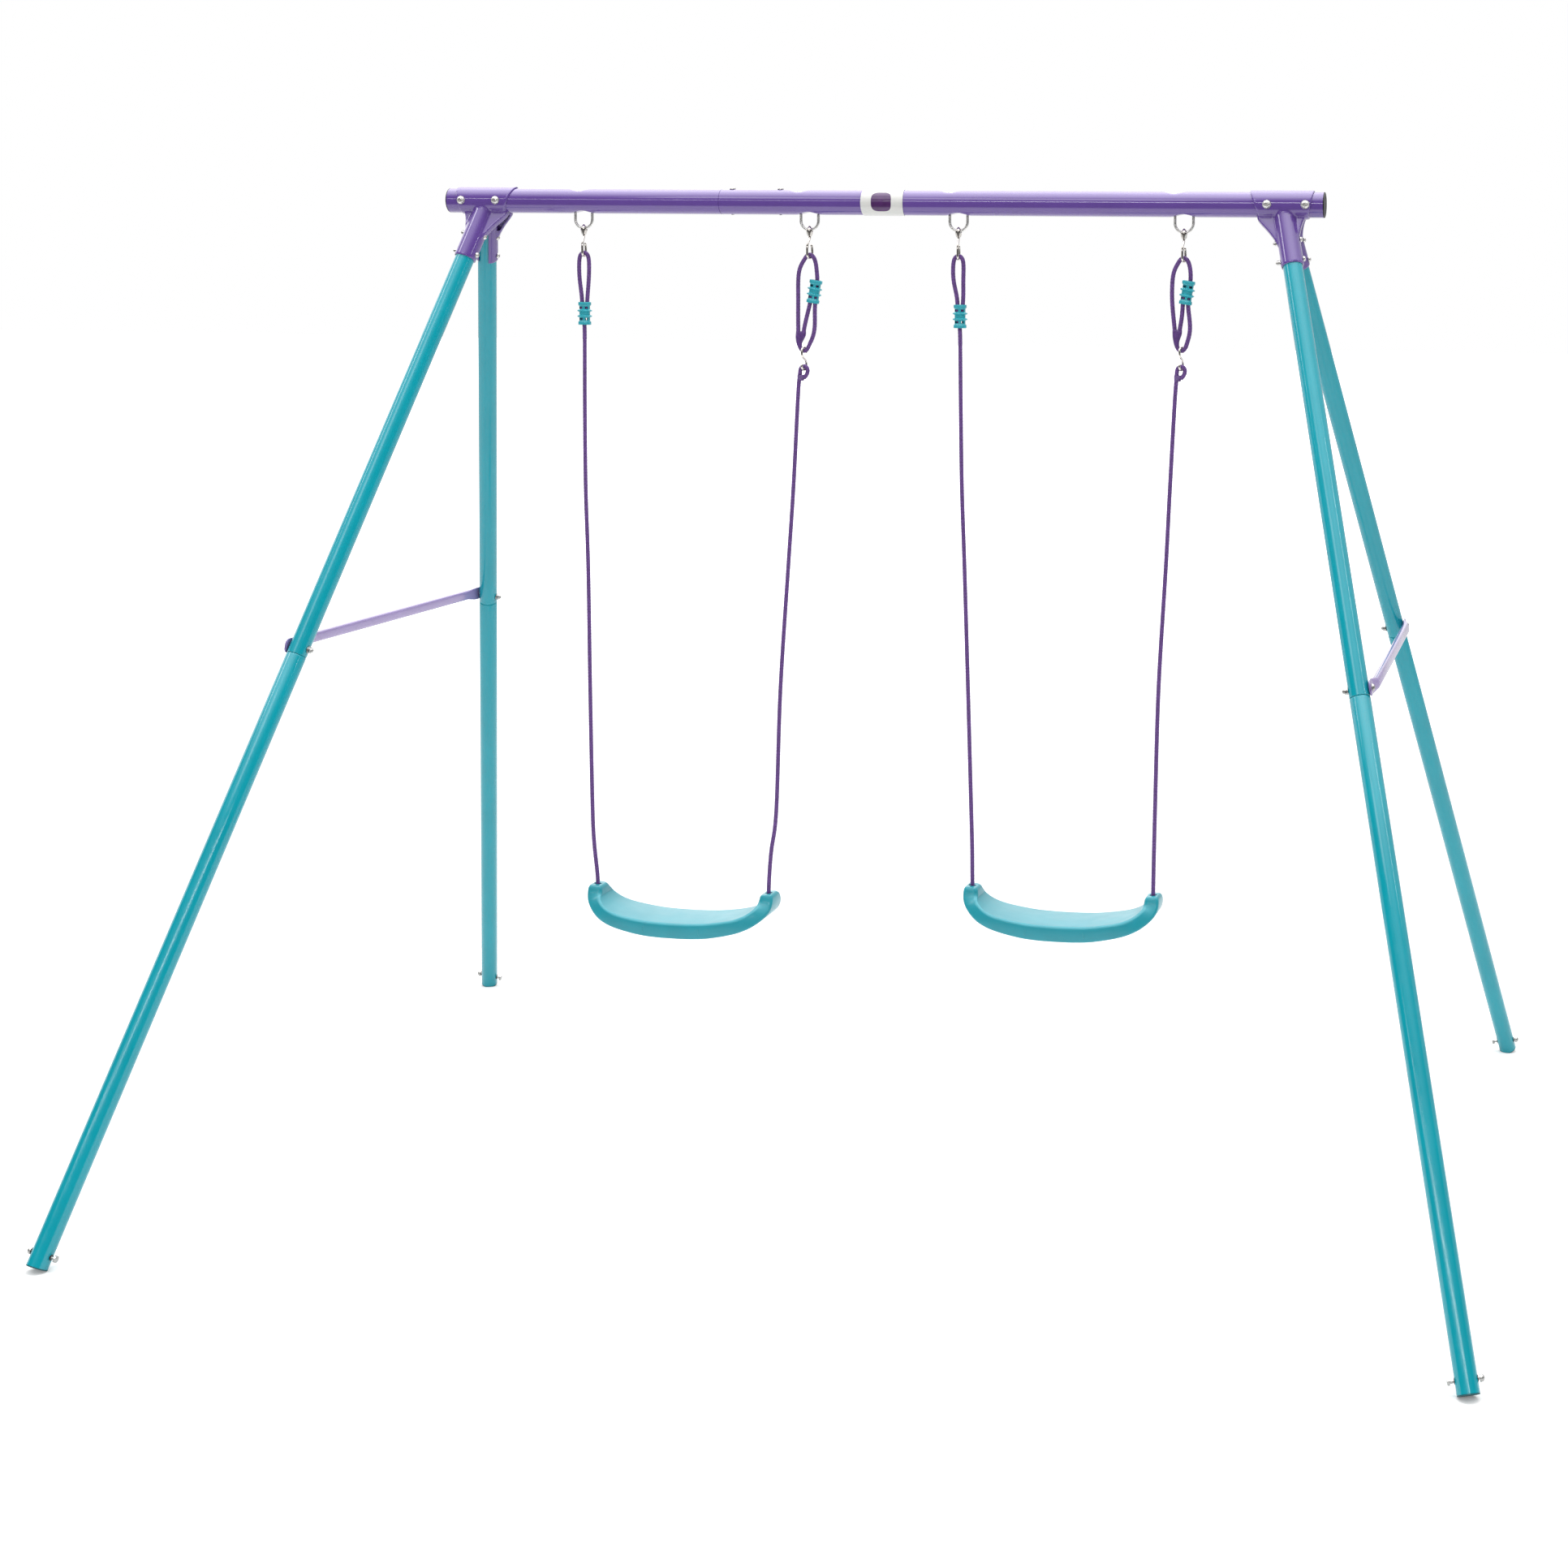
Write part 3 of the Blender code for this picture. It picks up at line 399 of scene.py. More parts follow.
def oval(half_x, half_y, sides, power):
    """A flat rounded outline; a smaller power makes it squarer."""
    ring = []
    for k in range(sides):
        a = 2 * pi * k / sides
        ring.append([abs(c) ** power * (1 if c >= 0 else -1) * half
                     for c, half in ((cos(a), half_x), (sin(a), half_y))])
    return ring


def section(centre, u, v, outline):
    return [centre + u * p + v * q for p, q in outline]


def turned(name, origin, axis, profile, sides=32, hint=X_AXIS, closed=False, sharp=38):
    """A turned solid from (distance, radius) pairs; a third value marks a hexagonal ring."""
    u, v = side_axes(axis, hint)
    w = axis.normalized()
    rings = [(hexagon if len(p) > 2 else circle)(origin + w * p[0], u, v, p[1], sides) for p in profile]
    return skin(name, rings, closed, sharp)


def box(name, low, high):
    x0, y0, z0 = low
    x1, y1, z1 = high
    lower = [Vector(p) for p in ((x0, y0, z0), (x1, y0, z0), (x1, y1, z0), (x0, y1, z0))]
    return skin(name, [lower, [Vector((p.x, p.y, z1)) for p in lower]])


def transported(points):
    """Section axes along a path, carried without twist."""
    p = np.array([tuple(q) for q in points], float)
    ways = np.gradient(p, axis=0)
    ways /= np.linalg.norm(ways, axis=1)[:, None]
    u = np.cross(ways[0], [0.0, 1.0, 0.0])
    if np.linalg.norm(u) < 0.1:
        u = np.cross(ways[0], [1.0, 0.0, 0.0])
    across = []
    for w in ways:
        u = u - w * np.dot(u, w)
        u = u / np.linalg.norm(u)
        across.append(u.copy())
    across = np.array(across)
    return p, across, np.cross(ways, across)


def tube(name, points, radii, sides=16, sharp=50):
    """A rod along points; radii is one radius or one for each point."""
    p, u, v = transported(points)
    r = np.broadcast_to(np.asarray(radii, float), (len(p),))
    a = np.arange(sides) * 2 * pi / sides
    rings = p[:, None] + r[:, None, None] * (u[:, None] * np.cos(a)[None, :, None]
                                             + v[:, None] * np.sin(a)[None, :, None])
    return skin(name, [[Vector(q) for q in ring] for ring in rings.tolist()], sharp=sharp)


def distance_along(points):
    return np.concatenate([[0], np.cumsum(np.linalg.norm(np.diff(points, axis=0), axis=1))])


def smooth(points, spacing):
    """Evenly spread points on a smooth curve through the given ones."""
    p = np.array([tuple(q) for q in points], float)
    p = np.vstack([2 * p[0] - p[1], p, 2 * p[-1] - p[-2]])
    fine = []
    for i in range(1, len(p) - 2):
        for t in np.linspace(0, 1, 24, endpoint=False):
            a = 2 * p[i] + (p[i + 1] - p[i - 1]) * t
            b = (2 * p[i - 1] - 5 * p[i] + 4 * p[i + 1] - p[i + 2]) * t * t
            c = (3 * p[i] - p[i - 1] - 3 * p[i + 1] + p[i + 2]) * t ** 3
            fine.append((a + b + c) / 2)
    fine.append(p[-2])
    fine = np.array(fine)
    along = distance_along(fine[:, :3])
    marks = np.linspace(0, along[-1], max(2, int(round(along[-1] / spacing)) + 1))
    return np.column_stack([np.interp(marks, along, fine[:, k]) for k in range(fine.shape[1])])


def smooth_flat(points, spacing):
    """The same in a plane."""
    return [(float(a), float(b)) for a, b, _ in smooth([(a, b, 0) for a, b in points], spacing)]


def arc(centre, radius, start, end, steps):
    span = [radians(start + (end - start) * k / steps) for k in range(steps + 1)]
    return [(centre[0] + radius * cos(a), centre[1] + radius * sin(a)) for a in span]


def place(obj, body, slot, *nodes):
    """Ride on a body, take a finish and its slot, and stand for CAD nodes."""
    obj.data.materials.clear()
    obj.data.materials.append(FINISHES[slot].mat)
    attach(obj, body)
    if nodes:
        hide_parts(*nodes)
    return obj


# ---- top bar
def bell(distance):
    s = abs(distance) / DENT_HALF
    return DENT_DEEP * 0.5 * (1 + cos(pi * s)) if s < 1 else 0.0


def pressed(z, limit, softness):
    """z held below limit, with a soft turn."""
    over = (z - limit) / softness
    return z - softness * (over if over > 30 else log(1 + exp(over)))


def bar_ring(x, radius, sides=56):
    top = sum(bell(x - hx - dx) for hx, dx in zip(HANGER_X, DENT_TOP))
    low = sum(bell(x - hx) for hx in HANGER_X)
    ring = []
    for k in range(sides):
        a = 2 * pi * k / sides
        y, z = radius * cos(a), radius * sin(a)
        if top > 1e-5:
            z = pressed(z, radius - top, 0.12 * top)
        if low > 1e-5:
            z = -pressed(-z, radius - low, 0.12 * low)
        ring.append(Vector((x, y, AXIS_Z + z)))
    return ring


def bar_stations(start, end):
    marks = [start]
    while marks[-1] < end:
        near = any(-0.055 < marks[-1] - hx < 0.033 for hx in HANGER_X)
        marks.append(min(end, marks[-1] + (0.0024 if near else 0.012)))
    return marks


def build_bar():
    inner = BAR_R - WALL
    left = bar_stations(-BAR_HALF, SPLICE_X - GAP)
    rings = [bar_ring(x, BAR_R) for x in left]
    rings += [bar_ring(x, inner - GAP) for x in (SPLICE_X, SPLICE_X + SPIGOT)]
    rings += [bar_ring(x, inner - GAP - WALL) for x in (SPLICE_X + SPIGOT, SPLICE_X)]
    rings += [bar_ring(x, inner) for x in left[-2::-6]] + [bar_ring(-BAR_HALF, inner)]
    place(skin("top_bar_left", rings, closed=True), "frame", "bar_paint", "bar_left")
    right = bar_stations(SPLICE_X, BAR_HALF)
    lip = [(SPLICE_X, BAR_R - 0.0005), (SPLICE_X + 0.0005, BAR_R)]
    rings = [bar_ring(x, r) for x, r in lip] + [bar_ring(x, BAR_R) for x in right[1:]]
    rings += [bar_ring(x, inner) for x in right[::-1]]
    place(skin("top_bar_right", rings, closed=True), "frame", "bar_paint", "bar_right")
    for side, sign in SIDES.items():
        cap = turned(f"bar_end_plug_{side}", Vector((sign * BAR_HALF, 0, AXIS_Z)), X_AXIS * sign,
                     [(-0.014, inner - 0.0010), (-0.0005, inner - 0.0005), (GAP, inner - 0.0003),
                      (GAP, BAR_R - 0.0006), (0.0010, BAR_R - 0.0001), (0.0020, BAR_R - 0.0006),
                      (0.0027, BAR_R - 0.0024), (0.0028, BAR_R - 0.0060), (0.0018, BAR_R - 0.0070)], 48, Y_AXIS)
        place(cap, "frame", "cap_plastic", f"bar_cap_{side}")
    label = film_patch("bar_label_film", -0.0205, 0.0655, BAR_R + 2 * GAP, 0.0005, 0.0035)
    place(label, "frame", "label_film", "bar_label")
    rings = []
    for part, lift in [(1.0, 0.0), (1.0, 0.00025)] + [(0.99 - 0.12 * k, 0.0003) for k in range(1, 9)]:
        ring = []
        for p, q in oval(0.0205 * part, 0.0195 * part, 56, 0.62):
            turn = (q + 0.0010) / BAR_R
            radius = BAR_R + 2 * GAP + 0.0005 + lift
            ring.append(Vector((0.0215 + p, -cos(turn) * radius, AXIS_Z + sin(turn) * radius)))
        rings.append(ring)
    place(skin("bar_label_patch", rings), "frame", "label_print")
    for i, (hx, dx) in enumerate(zip(HANGER_X, DENT_TOP), 1):
        base = Vector((hx + dx, 0, AXIS_Z + BAR_R - DENT_DEEP))
        dome = turned(f"hanger_rivet_{i}", base, Z_AXIS,
                      [(-0.0030, 0.0045), (0.0000, 0.0062), (0.0006, 0.0062), (0.0012, 0.0048), (0.0028, 0.0036),
                       (0.0036, 0.0016)], 24)
        place(dome, "frame", "zinc")


def film_patch(name, x0, x1, radius, thick, bulge):
    """A thin film wrapped round the front of the bar, with its side edges bowed."""
    rings = []
    for k in range(49):
        a = radians(-96 + 192 * k / 48)
        bow = bulge * (1 - cos(a)) * 0.5
        corners = ((x0 + bow, radius), (x1 - bow, radius), (x1 - bow, radius + thick), (x0 + bow, radius + thick))
        rings.append([Vector((x, -cos(a) * r, AXIS_Z + sin(a) * r)) for x, r in corners])
    return skin(name, rings)


# ---- bolts
def pan_head(face, radius, tall):
    """Domed head with a hexagonal socket, from its top inwards to the face that it seats on."""
    top = face + tall
    return [(top - 0.0022, 0.0001), (top - 0.0022, radius * 0.33, 1), (top, radius * 0.36, 1),
            (top - 0.0001, radius * 0.48), (top - tall * 0.22, radius * 0.74), (top - tall * 0.55, radius * 0.93),
            (top - tall * 0.9, radius), (face, radius * 0.98)]


def bolt(name, centre, axis, grip_head, grip_nut, radius, tall, shank, tail, nut=0.0, cap=False):
    """Head beyond grip_head along axis; washer, nut and thread beyond grip_nut the other way."""
    profile = pan_head(grip_head + 0.0010, radius, tall)
    profile += [(grip_head + 0.0010, radius * 1.10), (grip_head + 0.0001, radius * 1.12), (grip_head, shank)]
    n = -grip_nut
    if nut:
        profile += [(n, shank), (n - 0.0001, nut * 1.25), (n - 0.0010, nut * 1.25), (n - 0.0011, nut, 1),
                    (n - 0.0056, nut, 1), (n - 0.0060, nut * 0.86)]
    if cap:
        profile += [(n - 0.0078, nut * 0.80), (n - 0.0098, nut * 0.52), (n - 0.0106, nut * 0.12)]
    else:
        step = 0.0006
        t = n - (0.0062 if nut else 0.0)
        while t > n - tail:
            profile += [(t, shank), (t - step / 2, shank * 0.84)]
            t -= step
        profile += [(n - tail, shank * 0.7)]
    return turned(name, centre, axis, profile, 30, sharp=30)


# ---- legs
class Leg:
    """A leg's straight axis from its top to its foot, with its side axes."""

    def __init__(self, side, end):
        flip = Vector((SIDES[side], ENDS[end], 1))
        self.top = Vector([a * b for a, b in zip(LEG_TOP, flip)])
        self.foot = Vector([a * b for a, b in zip(LEG_FOOT, flip)])
        self.down = (self.foot - self.top).normalized()
        self.length = (self.foot - self.top).length
        self.across, self.depth = side_axes(self.down, Vector((SIDES[side], 0, 0)))

    def at(self, s):
        return self.top + self.down * s


LEGS = {(side, end): Leg(side, end) for side in SIDES for end in ENDS}


def cut_flat(obj, leg, height):
    """Take off what lies below a height at a leg's foot."""
    x, y = leg.foot.x, leg.foot.y
    boolean(obj, box("tool", (x - 0.05, y - 0.05, -0.05), (x + 0.05, y + 0.05, height)))
    shade(obj)


def build_legs():
    inner = LEG_R - WALL
    spigot = inner - GAP
    for (side, end), leg in LEGS.items():
        tag = f"{end}_{side}"
        tube_end = leg.length - CAP_LIP
        upper = [(LEG_START, LEG_R), (0.35, LEG_R), (0.70, LEG_R), (LEG_SPLICE - 0.0006, LEG_R),
                 (LEG_SPLICE, LEG_R - 0.0006), (LEG_SPLICE, inner), (LEG_START, inner)]
        place(turned(f"leg_tube_upper_{tag}", leg.top, leg.down, upper, 48, leg.across, True), "frame",
              "leg_paint", f"leg_upper_{tag}")
        join = LEG_SPLICE + GAP
        lower = [(LEG_SPLICE - 0.12, spigot), (join, spigot), (join + 0.0004, LEG_R - 0.0016),
                 (join + 0.0012, LEG_R - 0.0005), (join + 0.0026, LEG_R), (1.35, LEG_R), (1.75, LEG_R),
                 (tube_end, LEG_R), (tube_end, inner), (join + 0.004, inner - 0.0004),
                 (LEG_SPLICE - 0.12, spigot - WALL)]
        tube_low = turned(f"leg_tube_lower_{tag}", leg.top, leg.down, lower, 48, leg.across, True)
        cut_flat(tube_low, leg, 0.0006)
        place(tube_low, "frame", "leg_paint", f"leg_lower_{tag}")
        cap = turned(f"foot_plug_{tag}", leg.top, leg.down,
                     [(tube_end - 0.010, inner - 0.0010), (tube_end + 0.0002, inner - 0.0006),
                      (tube_end + GAP, LEG_R - 0.0002), (leg.length - 0.0004, LEG_R - 0.0001),
                      (leg.length, LEG_R - 0.0006)], 48, leg.across)
        cut_flat(cap, leg, 0.0)
        place(cap, "frame", "foot_plastic", f"foot_cap_{tag}")
        anchor = leg.at(leg.length - ANCHOR_UP)
        profile = [(0.0298, 0.0002), (0.0294, 0.0026), (0.0280, 0.0048), (0.0260, 0.0061), (0.0232, 0.0064),
                   (0.0218, 0.0060), (0.0216, 0.0030), (-0.0262, 0.0030), (-0.0263, 0.0058, 1),
                   (-0.0302, 0.0058, 1), (-0.0310, 0.0048), (-0.0312, 0.0030), (-0.0312, 0.0002)]
        place(turned(f"ground_screw_{tag}", anchor, leg.across, profile, 30, leg.down, sharp=30),
              "frame", "dull_zinc", f"anchor_bolt_{tag}")
        # painted shade: a black ring round each end of the screw's hole stands for the shade at the hole's edge
        for k, side_gap in ((0, 1), (1, -1)):
            at = anchor + leg.across * (side_gap * (LEG_R - 0.0006))
            ring = turned(f"hole_shade_ring_{tag}_{k}", at, leg.across * side_gap,
                          [(-0.0008, 0.0034), (0.0009, 0.0036), (0.0012, 0.0042), (0.0008, 0.0054),
                           (-0.0008, 0.0056)], 24, leg.down, closed=True)
            place(ring, "frame", "cap_plastic")
        head = -1 if side == "left" else 1
        for k, s in enumerate(SOCKET_SCREWS):
            place(bolt(f"socket_screw_{tag}_{k}", leg.at(s), leg.across * head, SOCKET_R + 0.0002,
                       SOCKET_R + 0.0002, 0.0052, 0.0034, 0.0024, 0.0085, nut=0.0042), "frame", "zinc")


# ---- corner brackets
def slab(leg, edge, back, front):
    """A plate in the plane of the leg, between two depths in front of its axis."""
    ahead = leg.depth if leg.depth.y < 0 else -leg.depth
    return skin("slab", [[leg.top + leg.across * a + leg.down * s + ahead * t for a, s in edge]
                         for t in (back, front)])


def curve_edge(points, back):
    return smooth_flat(points, 0.004) + back


def inset(points, gap):
    """The same curve moved towards the leg."""
    return [(a - gap * (1 if a > 0 else -1), s - 0.4 * gap) for a, s in points]


def tube_rod(leg, low, high, radius):
    return skin("rod", [circle(leg.at(s), leg.across, leg.depth, radius, 72) for s in (low, high)])


def bar_rod(radius):
    return skin("rod", [circle(Vector((x, 0, AXIS_Z)), Y_AXIS, Z_AXIS, radius, 72) for x in (0.70, 0.95)])


WEB_INNER = [(-0.0530, -0.0080), (-0.0478, 0.0020), (-0.0400, 0.0150), (-0.0325, 0.0290), (-0.0262, 0.0430),
             (-0.0222, 0.0560)]
WEB_OUTER = [(0.0490, -0.0080), (0.0420, 0.0010), (0.0350, 0.0110), (0.0288, 0.0230), (0.0240, 0.0360),
             (0.0214, 0.0460)]


def build_brackets():
    """One shell is pressed from sheet with soft fillets and hollow gussets; the others are its mirror images."""
    leg = LEGS["right", "front"]
    rings = []
    for low, high in ((0.752, 0.774), (0.878, 0.8675)):
        ring = circle(Vector((0, 0, AXIS_Z)), Y_AXIS, Z_AXIS, SLEEVE_R, 72)
        rings.append([Vector((low + (high - low) * (0.5 - (p.z - AXIS_Z) / (2 * SLEEVE_R)), p.y, p.z))
                      for p in ring])
    shell = skin("bracket", rings)
    boolean(shell, tube_rod(leg, -0.022, SOCKET_END, SOCKET_R), "UNION")
    for edge in (WEB_INNER, WEB_OUTER):
        root = 0.0100 if edge[0][0] > 0 else -0.0100
        back = [(root, edge[-1][1]), (root, -0.0220), (edge[0][0], -0.0220)]
        boolean(shell, slab(leg, curve_edge(edge, back), -0.0040, 0.0095), "UNION")
    remesh = shell.modifiers.new("melt", "REMESH")
    remesh.mode = "VOXEL"
    remesh.voxel_size = MELT_VOXEL
    soften = shell.modifiers.new("soften", "SMOOTH")
    soften.factor = 0.5
    soften.iterations = MELT_PASSES
    apply_modifiers(shell)
    boolean(shell, box("tool", (0.70, -0.0006, 1.60), (0.95, 0.12, 2.0)))
    for edge in (WEB_INNER, WEB_OUTER):
        root = SOCKET_R if edge[0][0] > 0 else -SOCKET_R
        points = [(a, s) for a, s in inset(edge, 0.0030) if abs(a) > SOCKET_R + 0.0012]
        back = [(root, points[-1][1] + 0.0030), (root, -0.0120), (points[0][0], -0.0120)]
        boolean(shell, slab(leg, curve_edge(points, back), -0.0300, 0.0062))
    boolean(shell, tube_rod(leg, 0.0, 0.13, LEG_R + 0.0009))
    boolean(shell, bar_rod(BAR_R + 0.0005))
    slot = [(-0.0105, 0.024), (0.0105, 0.024), (0.0105, 0.140), (-0.0105, 0.140)]
    boolean(shell, slab(leg, slot, -0.0400, -0.0050))
    shade(shell, 45)
    base = shell.data
    for (side, end) in LEGS:
        mesh = base.copy()
        flip = Matrix.Diagonal((SIDES[side], ENDS[end], 1, 1))
        mesh.transform(flip)
        if SIDES[side] * ENDS[end] < 0:
            mesh.flip_normals()
        piece = link(f"corner_bracket_{end}_{side}", mesh)
        place(piece, "frame", "bar_paint", f"bracket_{end}_{side}")
    bpy.data.objects.remove(shell)
    for side, sign in SIDES.items():
        for spot, x in zip(("inner", "outer"), BRACKET_BOLTS):
            place(bolt(f"clamp_bolt_{spot}_{side}", Vector((sign * x, 0, AXIS_Z)), -Y_AXIS, SLEEVE_R,
                       SLEEVE_R + 0.0002, 0.0077, 0.0048, 0.0036, 0.0112, nut=0.0062),
                  "frame", "zinc", f"bracket_bolt_{spot}_{side}")


# ---- braces
def build_braces():
    for side, sign in SIDES.items():
        front, rear = LEGS[side, "front"], LEGS[side, "rear"]
        tilt = Vector((front.across.x, 0, front.across.z)).normalized()
        up = Vector((-tilt.z * sign, 0, tilt.x * sign))
        hole = front.at(BRACE_BOLT)
        middle = Vector((hole.x, 0, hole.z)) + tilt * (LEG_R + 0.0030)
        reach = abs(hole.y)
        half = smooth([(-reach - 0.0145, 0.0060, 0.0017, 0), (-reach - 0.0135, 0.0100, 0.0020, 0),
                       (-reach - 0.0080, 0.0137, 0.0020, 0), (-reach + 0.015, 0.0140, 0.0020, 0),
                       (-reach + 0.032, 0.0124, 0.0040, 0.0022), (-reach + 0.050, 0.0104, 0.0064, 0.0050)], 0.003)
        run = [tuple(s) for s in half] + [(-0.15, 0.0105, 0.0065, 0.0050)]
        run += [(-s[0], *s[1:]) for s in reversed(run)]

        def ring(y, tall, deep, out):
            return section(middle + tilt * out + Vector((0, y, 0)), up, tilt, oval(tall, deep, 28, 0.62))

        outer = [ring(*s) for s in run]
        hollow = [ring(y, t - BRACE_SHEET, max(d - BRACE_SHEET, GAP), o) for y, t, d, o in reversed(run)]
        place(skin(f"cross_brace_{side}", outer + hollow, closed=True), "frame", "brace_paint", f"brace_{side}")
        for end, leg in (("front", front), ("rear", rear)):
            place(bolt(f"cross_bolt_{end}_{side}", leg.at(BRACE_BOLT), leg.across, 0.0242, LEG_R + 0.0004, 0.0064,
                       0.0042, 0.0029, 0.011, nut=0.0056, cap=True), "frame", "dull_zinc",
                  f"brace_bolt_{end}_{side}")


# ---- hangers
def turned_path(points, hx, base, yaw):
    a = radians(yaw)
    return [Vector((hx - p * sin(a), p * cos(a), base + z)) for p, z in points]


def build_hangers():
    hook = [(0, -0.0100), (0, -0.0160), (-0.0032, -0.0215), (-0.0072, -0.0280), (-0.0088, -0.0355)]
    hook += arc((0, -0.0475), 0.0088, 180, 360, 10)
    hook += [(0.0088, -0.0410), (0.0076, -0.0345), (0.0050, -0.0285)]
    hook = smooth_flat(hook, 0.0011)
    radii = [HOOK_WIRE_R] * (len(hook) - 3) + [HOOK_WIRE_R * 0.97, HOOK_WIRE_R * 0.8, HOOK_WIRE_R * 0.35]
    for i, (hx, yaw) in enumerate(zip(HANGER_X, HOOK_YAW), 1):
        top = AXIS_Z - 0.0140
        path = [Vector((hx - UBOLT_R, 0, top)), Vector((hx - UBOLT_R, 0, WIRE_Z + UBOLT_R + 0.006))]
        path += [Vector((hx + p, 0, z)) for p, z in arc((0, WIRE_Z + UBOLT_R), UBOLT_R, 180, 360, 28)]
        path += [Vector((hx + UBOLT_R, 0, WIRE_Z + UBOLT_R + 0.006)), Vector((hx + UBOLT_R, 0, top))]
        place(tube(f"hanger_wire_{i}", path, WIRE_R, 20), "frame", "zinc", f"u_bolt_{i}")
        eye = turned(f"rope_hook_{i}", Vector((hx, 0, WIRE_Z)), Z_AXIS,
                     [(-0.0124, 0.0030), (-0.0122, 0.0044), (-0.0085, 0.0056), (-0.0050, 0.0065), (-0.0020, 0.0072),
                      (0.0004, 0.0072), (0.0035, 0.0056), (0.0062, 0.0036), (0.0080, 0.0021), (0.0086, 0.0008)], 32)
        waist = [(0.0095 * t / 6, 0.0036 + 0.0026 * (abs(t) / 6) ** 2) for t in range(-6, 7)]
        boolean(eye, turned("tool", Vector((hx, 0, WIRE_Z)), X_AXIS, waist, 24, Y_AXIS))
        boolean(eye, tube("tool", turned_path(hook, hx, WIRE_Z, yaw), radii, 16), "UNION")
        shade(eye, 40)
        place(eye, SWING[i], "chrome", f"swing_hook_{i}")


ADJUSTERS = ((-0.6083, 1.6868, 0.0), (-0.1225, 1.7365, 9.2), (0.1772, 1.6910, 0.0), (0.6312, 1.7430, 8.7))
S_HOOKS = {"left": (-0.1438, 1.6026), "right": (0.6212, 1.6145)}


def build_adjusters():
    half = [(0.0232, 0.0112, 0.0080), (0.0230, 0.0120, 0.0088), (0.0222, 0.0127, 0.0092), (0.0175, 0.0127, 0.0092),
            (0.0162, 0.0120, 0.0084), (0.0152, 0.0108, 0.0074), (0.0140, 0.0106, 0.0071), (0.0088, 0.0106, 0.0071),
            (0.0078, 0.0118, 0.0080), (0.0068, 0.0140, 0.0096), (0.0056, 0.0148, 0.0100), (0.0044, 0.0140, 0.0096),
            (0.0034, 0.0118, 0.0080), (0.0024, 0.0106, 0.0071)]
    outside = half + [(-t, a, b) for t, a, b in reversed(half)]
    for i, (x, z, lean) in enumerate(ADJUSTERS, 1):
        a = radians(lean)
        up, across = Vector((sin(a), 0, cos(a))), Vector((cos(a), 0, -sin(a)))
        centre = Vector((x, 0, z))
        bore = [(t, 0.0103, 0.0056) for t in (-0.0232, 0.0232)]
        rings = [section(centre + up * t, across, Y_AXIS, oval(hx, hy, 40, 0.7)) for t, hx, hy in outside + bore]
        body = skin(f"rope_lock_{i}", rings, closed=True)
        windows = ((0.0114, -0.0058, 0.0034, -1), (0.0114, 0.0060, 0.0028, -1), (-0.0114, -0.0054, 0.0038, -1),
                   (-0.0114, 0.0062, 0.0026, -1), (0.0114, 0.0, 0.0022, 1), (-0.0114, 0.0, 0.0022, 1))
        for t, p, wide, face in windows:
            rings = []
            for y in (0.0, face * 0.015):
                corners = ((-wide, -0.0023), (wide, -0.0023), (wide, 0.0023), (-wide, 0.0023))
                rings.append([centre + across * (p + c) + up * (t + d) + Y_AXIS * y for c, d in corners])
            boolean(body, skin("tool", rings))
        shade(body, 35)
        place(body, SWING[i], "adjuster_plastic", f"rope_adjuster_{i}")


def build_s_hooks():
    upper = arc((0, 0.0137), 0.0088, -25, 180, 12)
    path = upper + [(-0.0074, 0.0065), (-0.0035, 0.0022), (0.0035, -0.0022), (0.0074, -0.0065)]
    path += [(-p, -z) for p, z in reversed(upper)]
    path = smooth_flat(path, 0.0012)
    ends = [0.4, 0.82, 0.97]
    radii = [HOOK_WIRE_R * e for e in ends] + [HOOK_WIRE_R] * (len(path) - 6) + [HOOK_WIRE_R * e for e in ends[::-1]]
    for side, (x, z) in S_HOOKS.items():
        place(tube(f"link_hook_{side}", turned_path(path, x, z, -14), radii, 16), f"{side}_swing", "chrome",
              f"s_hook_{side}")


# ---- seats
# half of a seat: x and height from its mouth, half thickness, depth to the front
SEAT_PATH = ((-0.1838, 0.0, 0.0132, 0.020), (-0.1840, -0.003, 0.0134, 0.021), (-0.1855, -0.0155, 0.0132, 0.024),
             (-0.1820, -0.0285, 0.0130, 0.032), (-0.1700, -0.0405, 0.0132, 0.044), (-0.1505, -0.0520, 0.0138, 0.055),
             (-0.1210, -0.0617, 0.0146, 0.061), (-0.0740, -0.0707, 0.0156, 0.062), (-0.0370, -0.0738, 0.0160, 0.062))
# depth to the rear and extra height on top, by distance from a seat's end
SEAT_BACK = ((0.0, 0.0220), (0.003, 0.0262), (0.007, 0.0306), (0.012, 0.0350), (0.018, 0.0393), (0.025, 0.0426),
             (0.034, 0.0458), (0.046, 0.0490), (0.062, 0.0525), (0.090, 0.0570), (0.140, 0.0608), (0.190, 0.0620))
SEAT_FILLET = ((0.0, 0.0008), (0.006, 0.0026), (0.012, 0.0040), (0.018, 0.0044), (0.025, 0.0042), (0.034, 0.0032),
               (0.046, 0.0020), (0.062, 0.0010), (0.090, 0.0))


def seat_run():
    middle = [(0.0, -0.0745, 0.0160, 0.062)]
    keys = list(SEAT_PATH) + middle + [(-x, z, t, d) for x, z, t, d in reversed(SEAT_PATH)]
    rows = np.array([(x, z, 0.0, t, d) for x, z, t, d in keys])
    return smooth(rows, 0.0040)


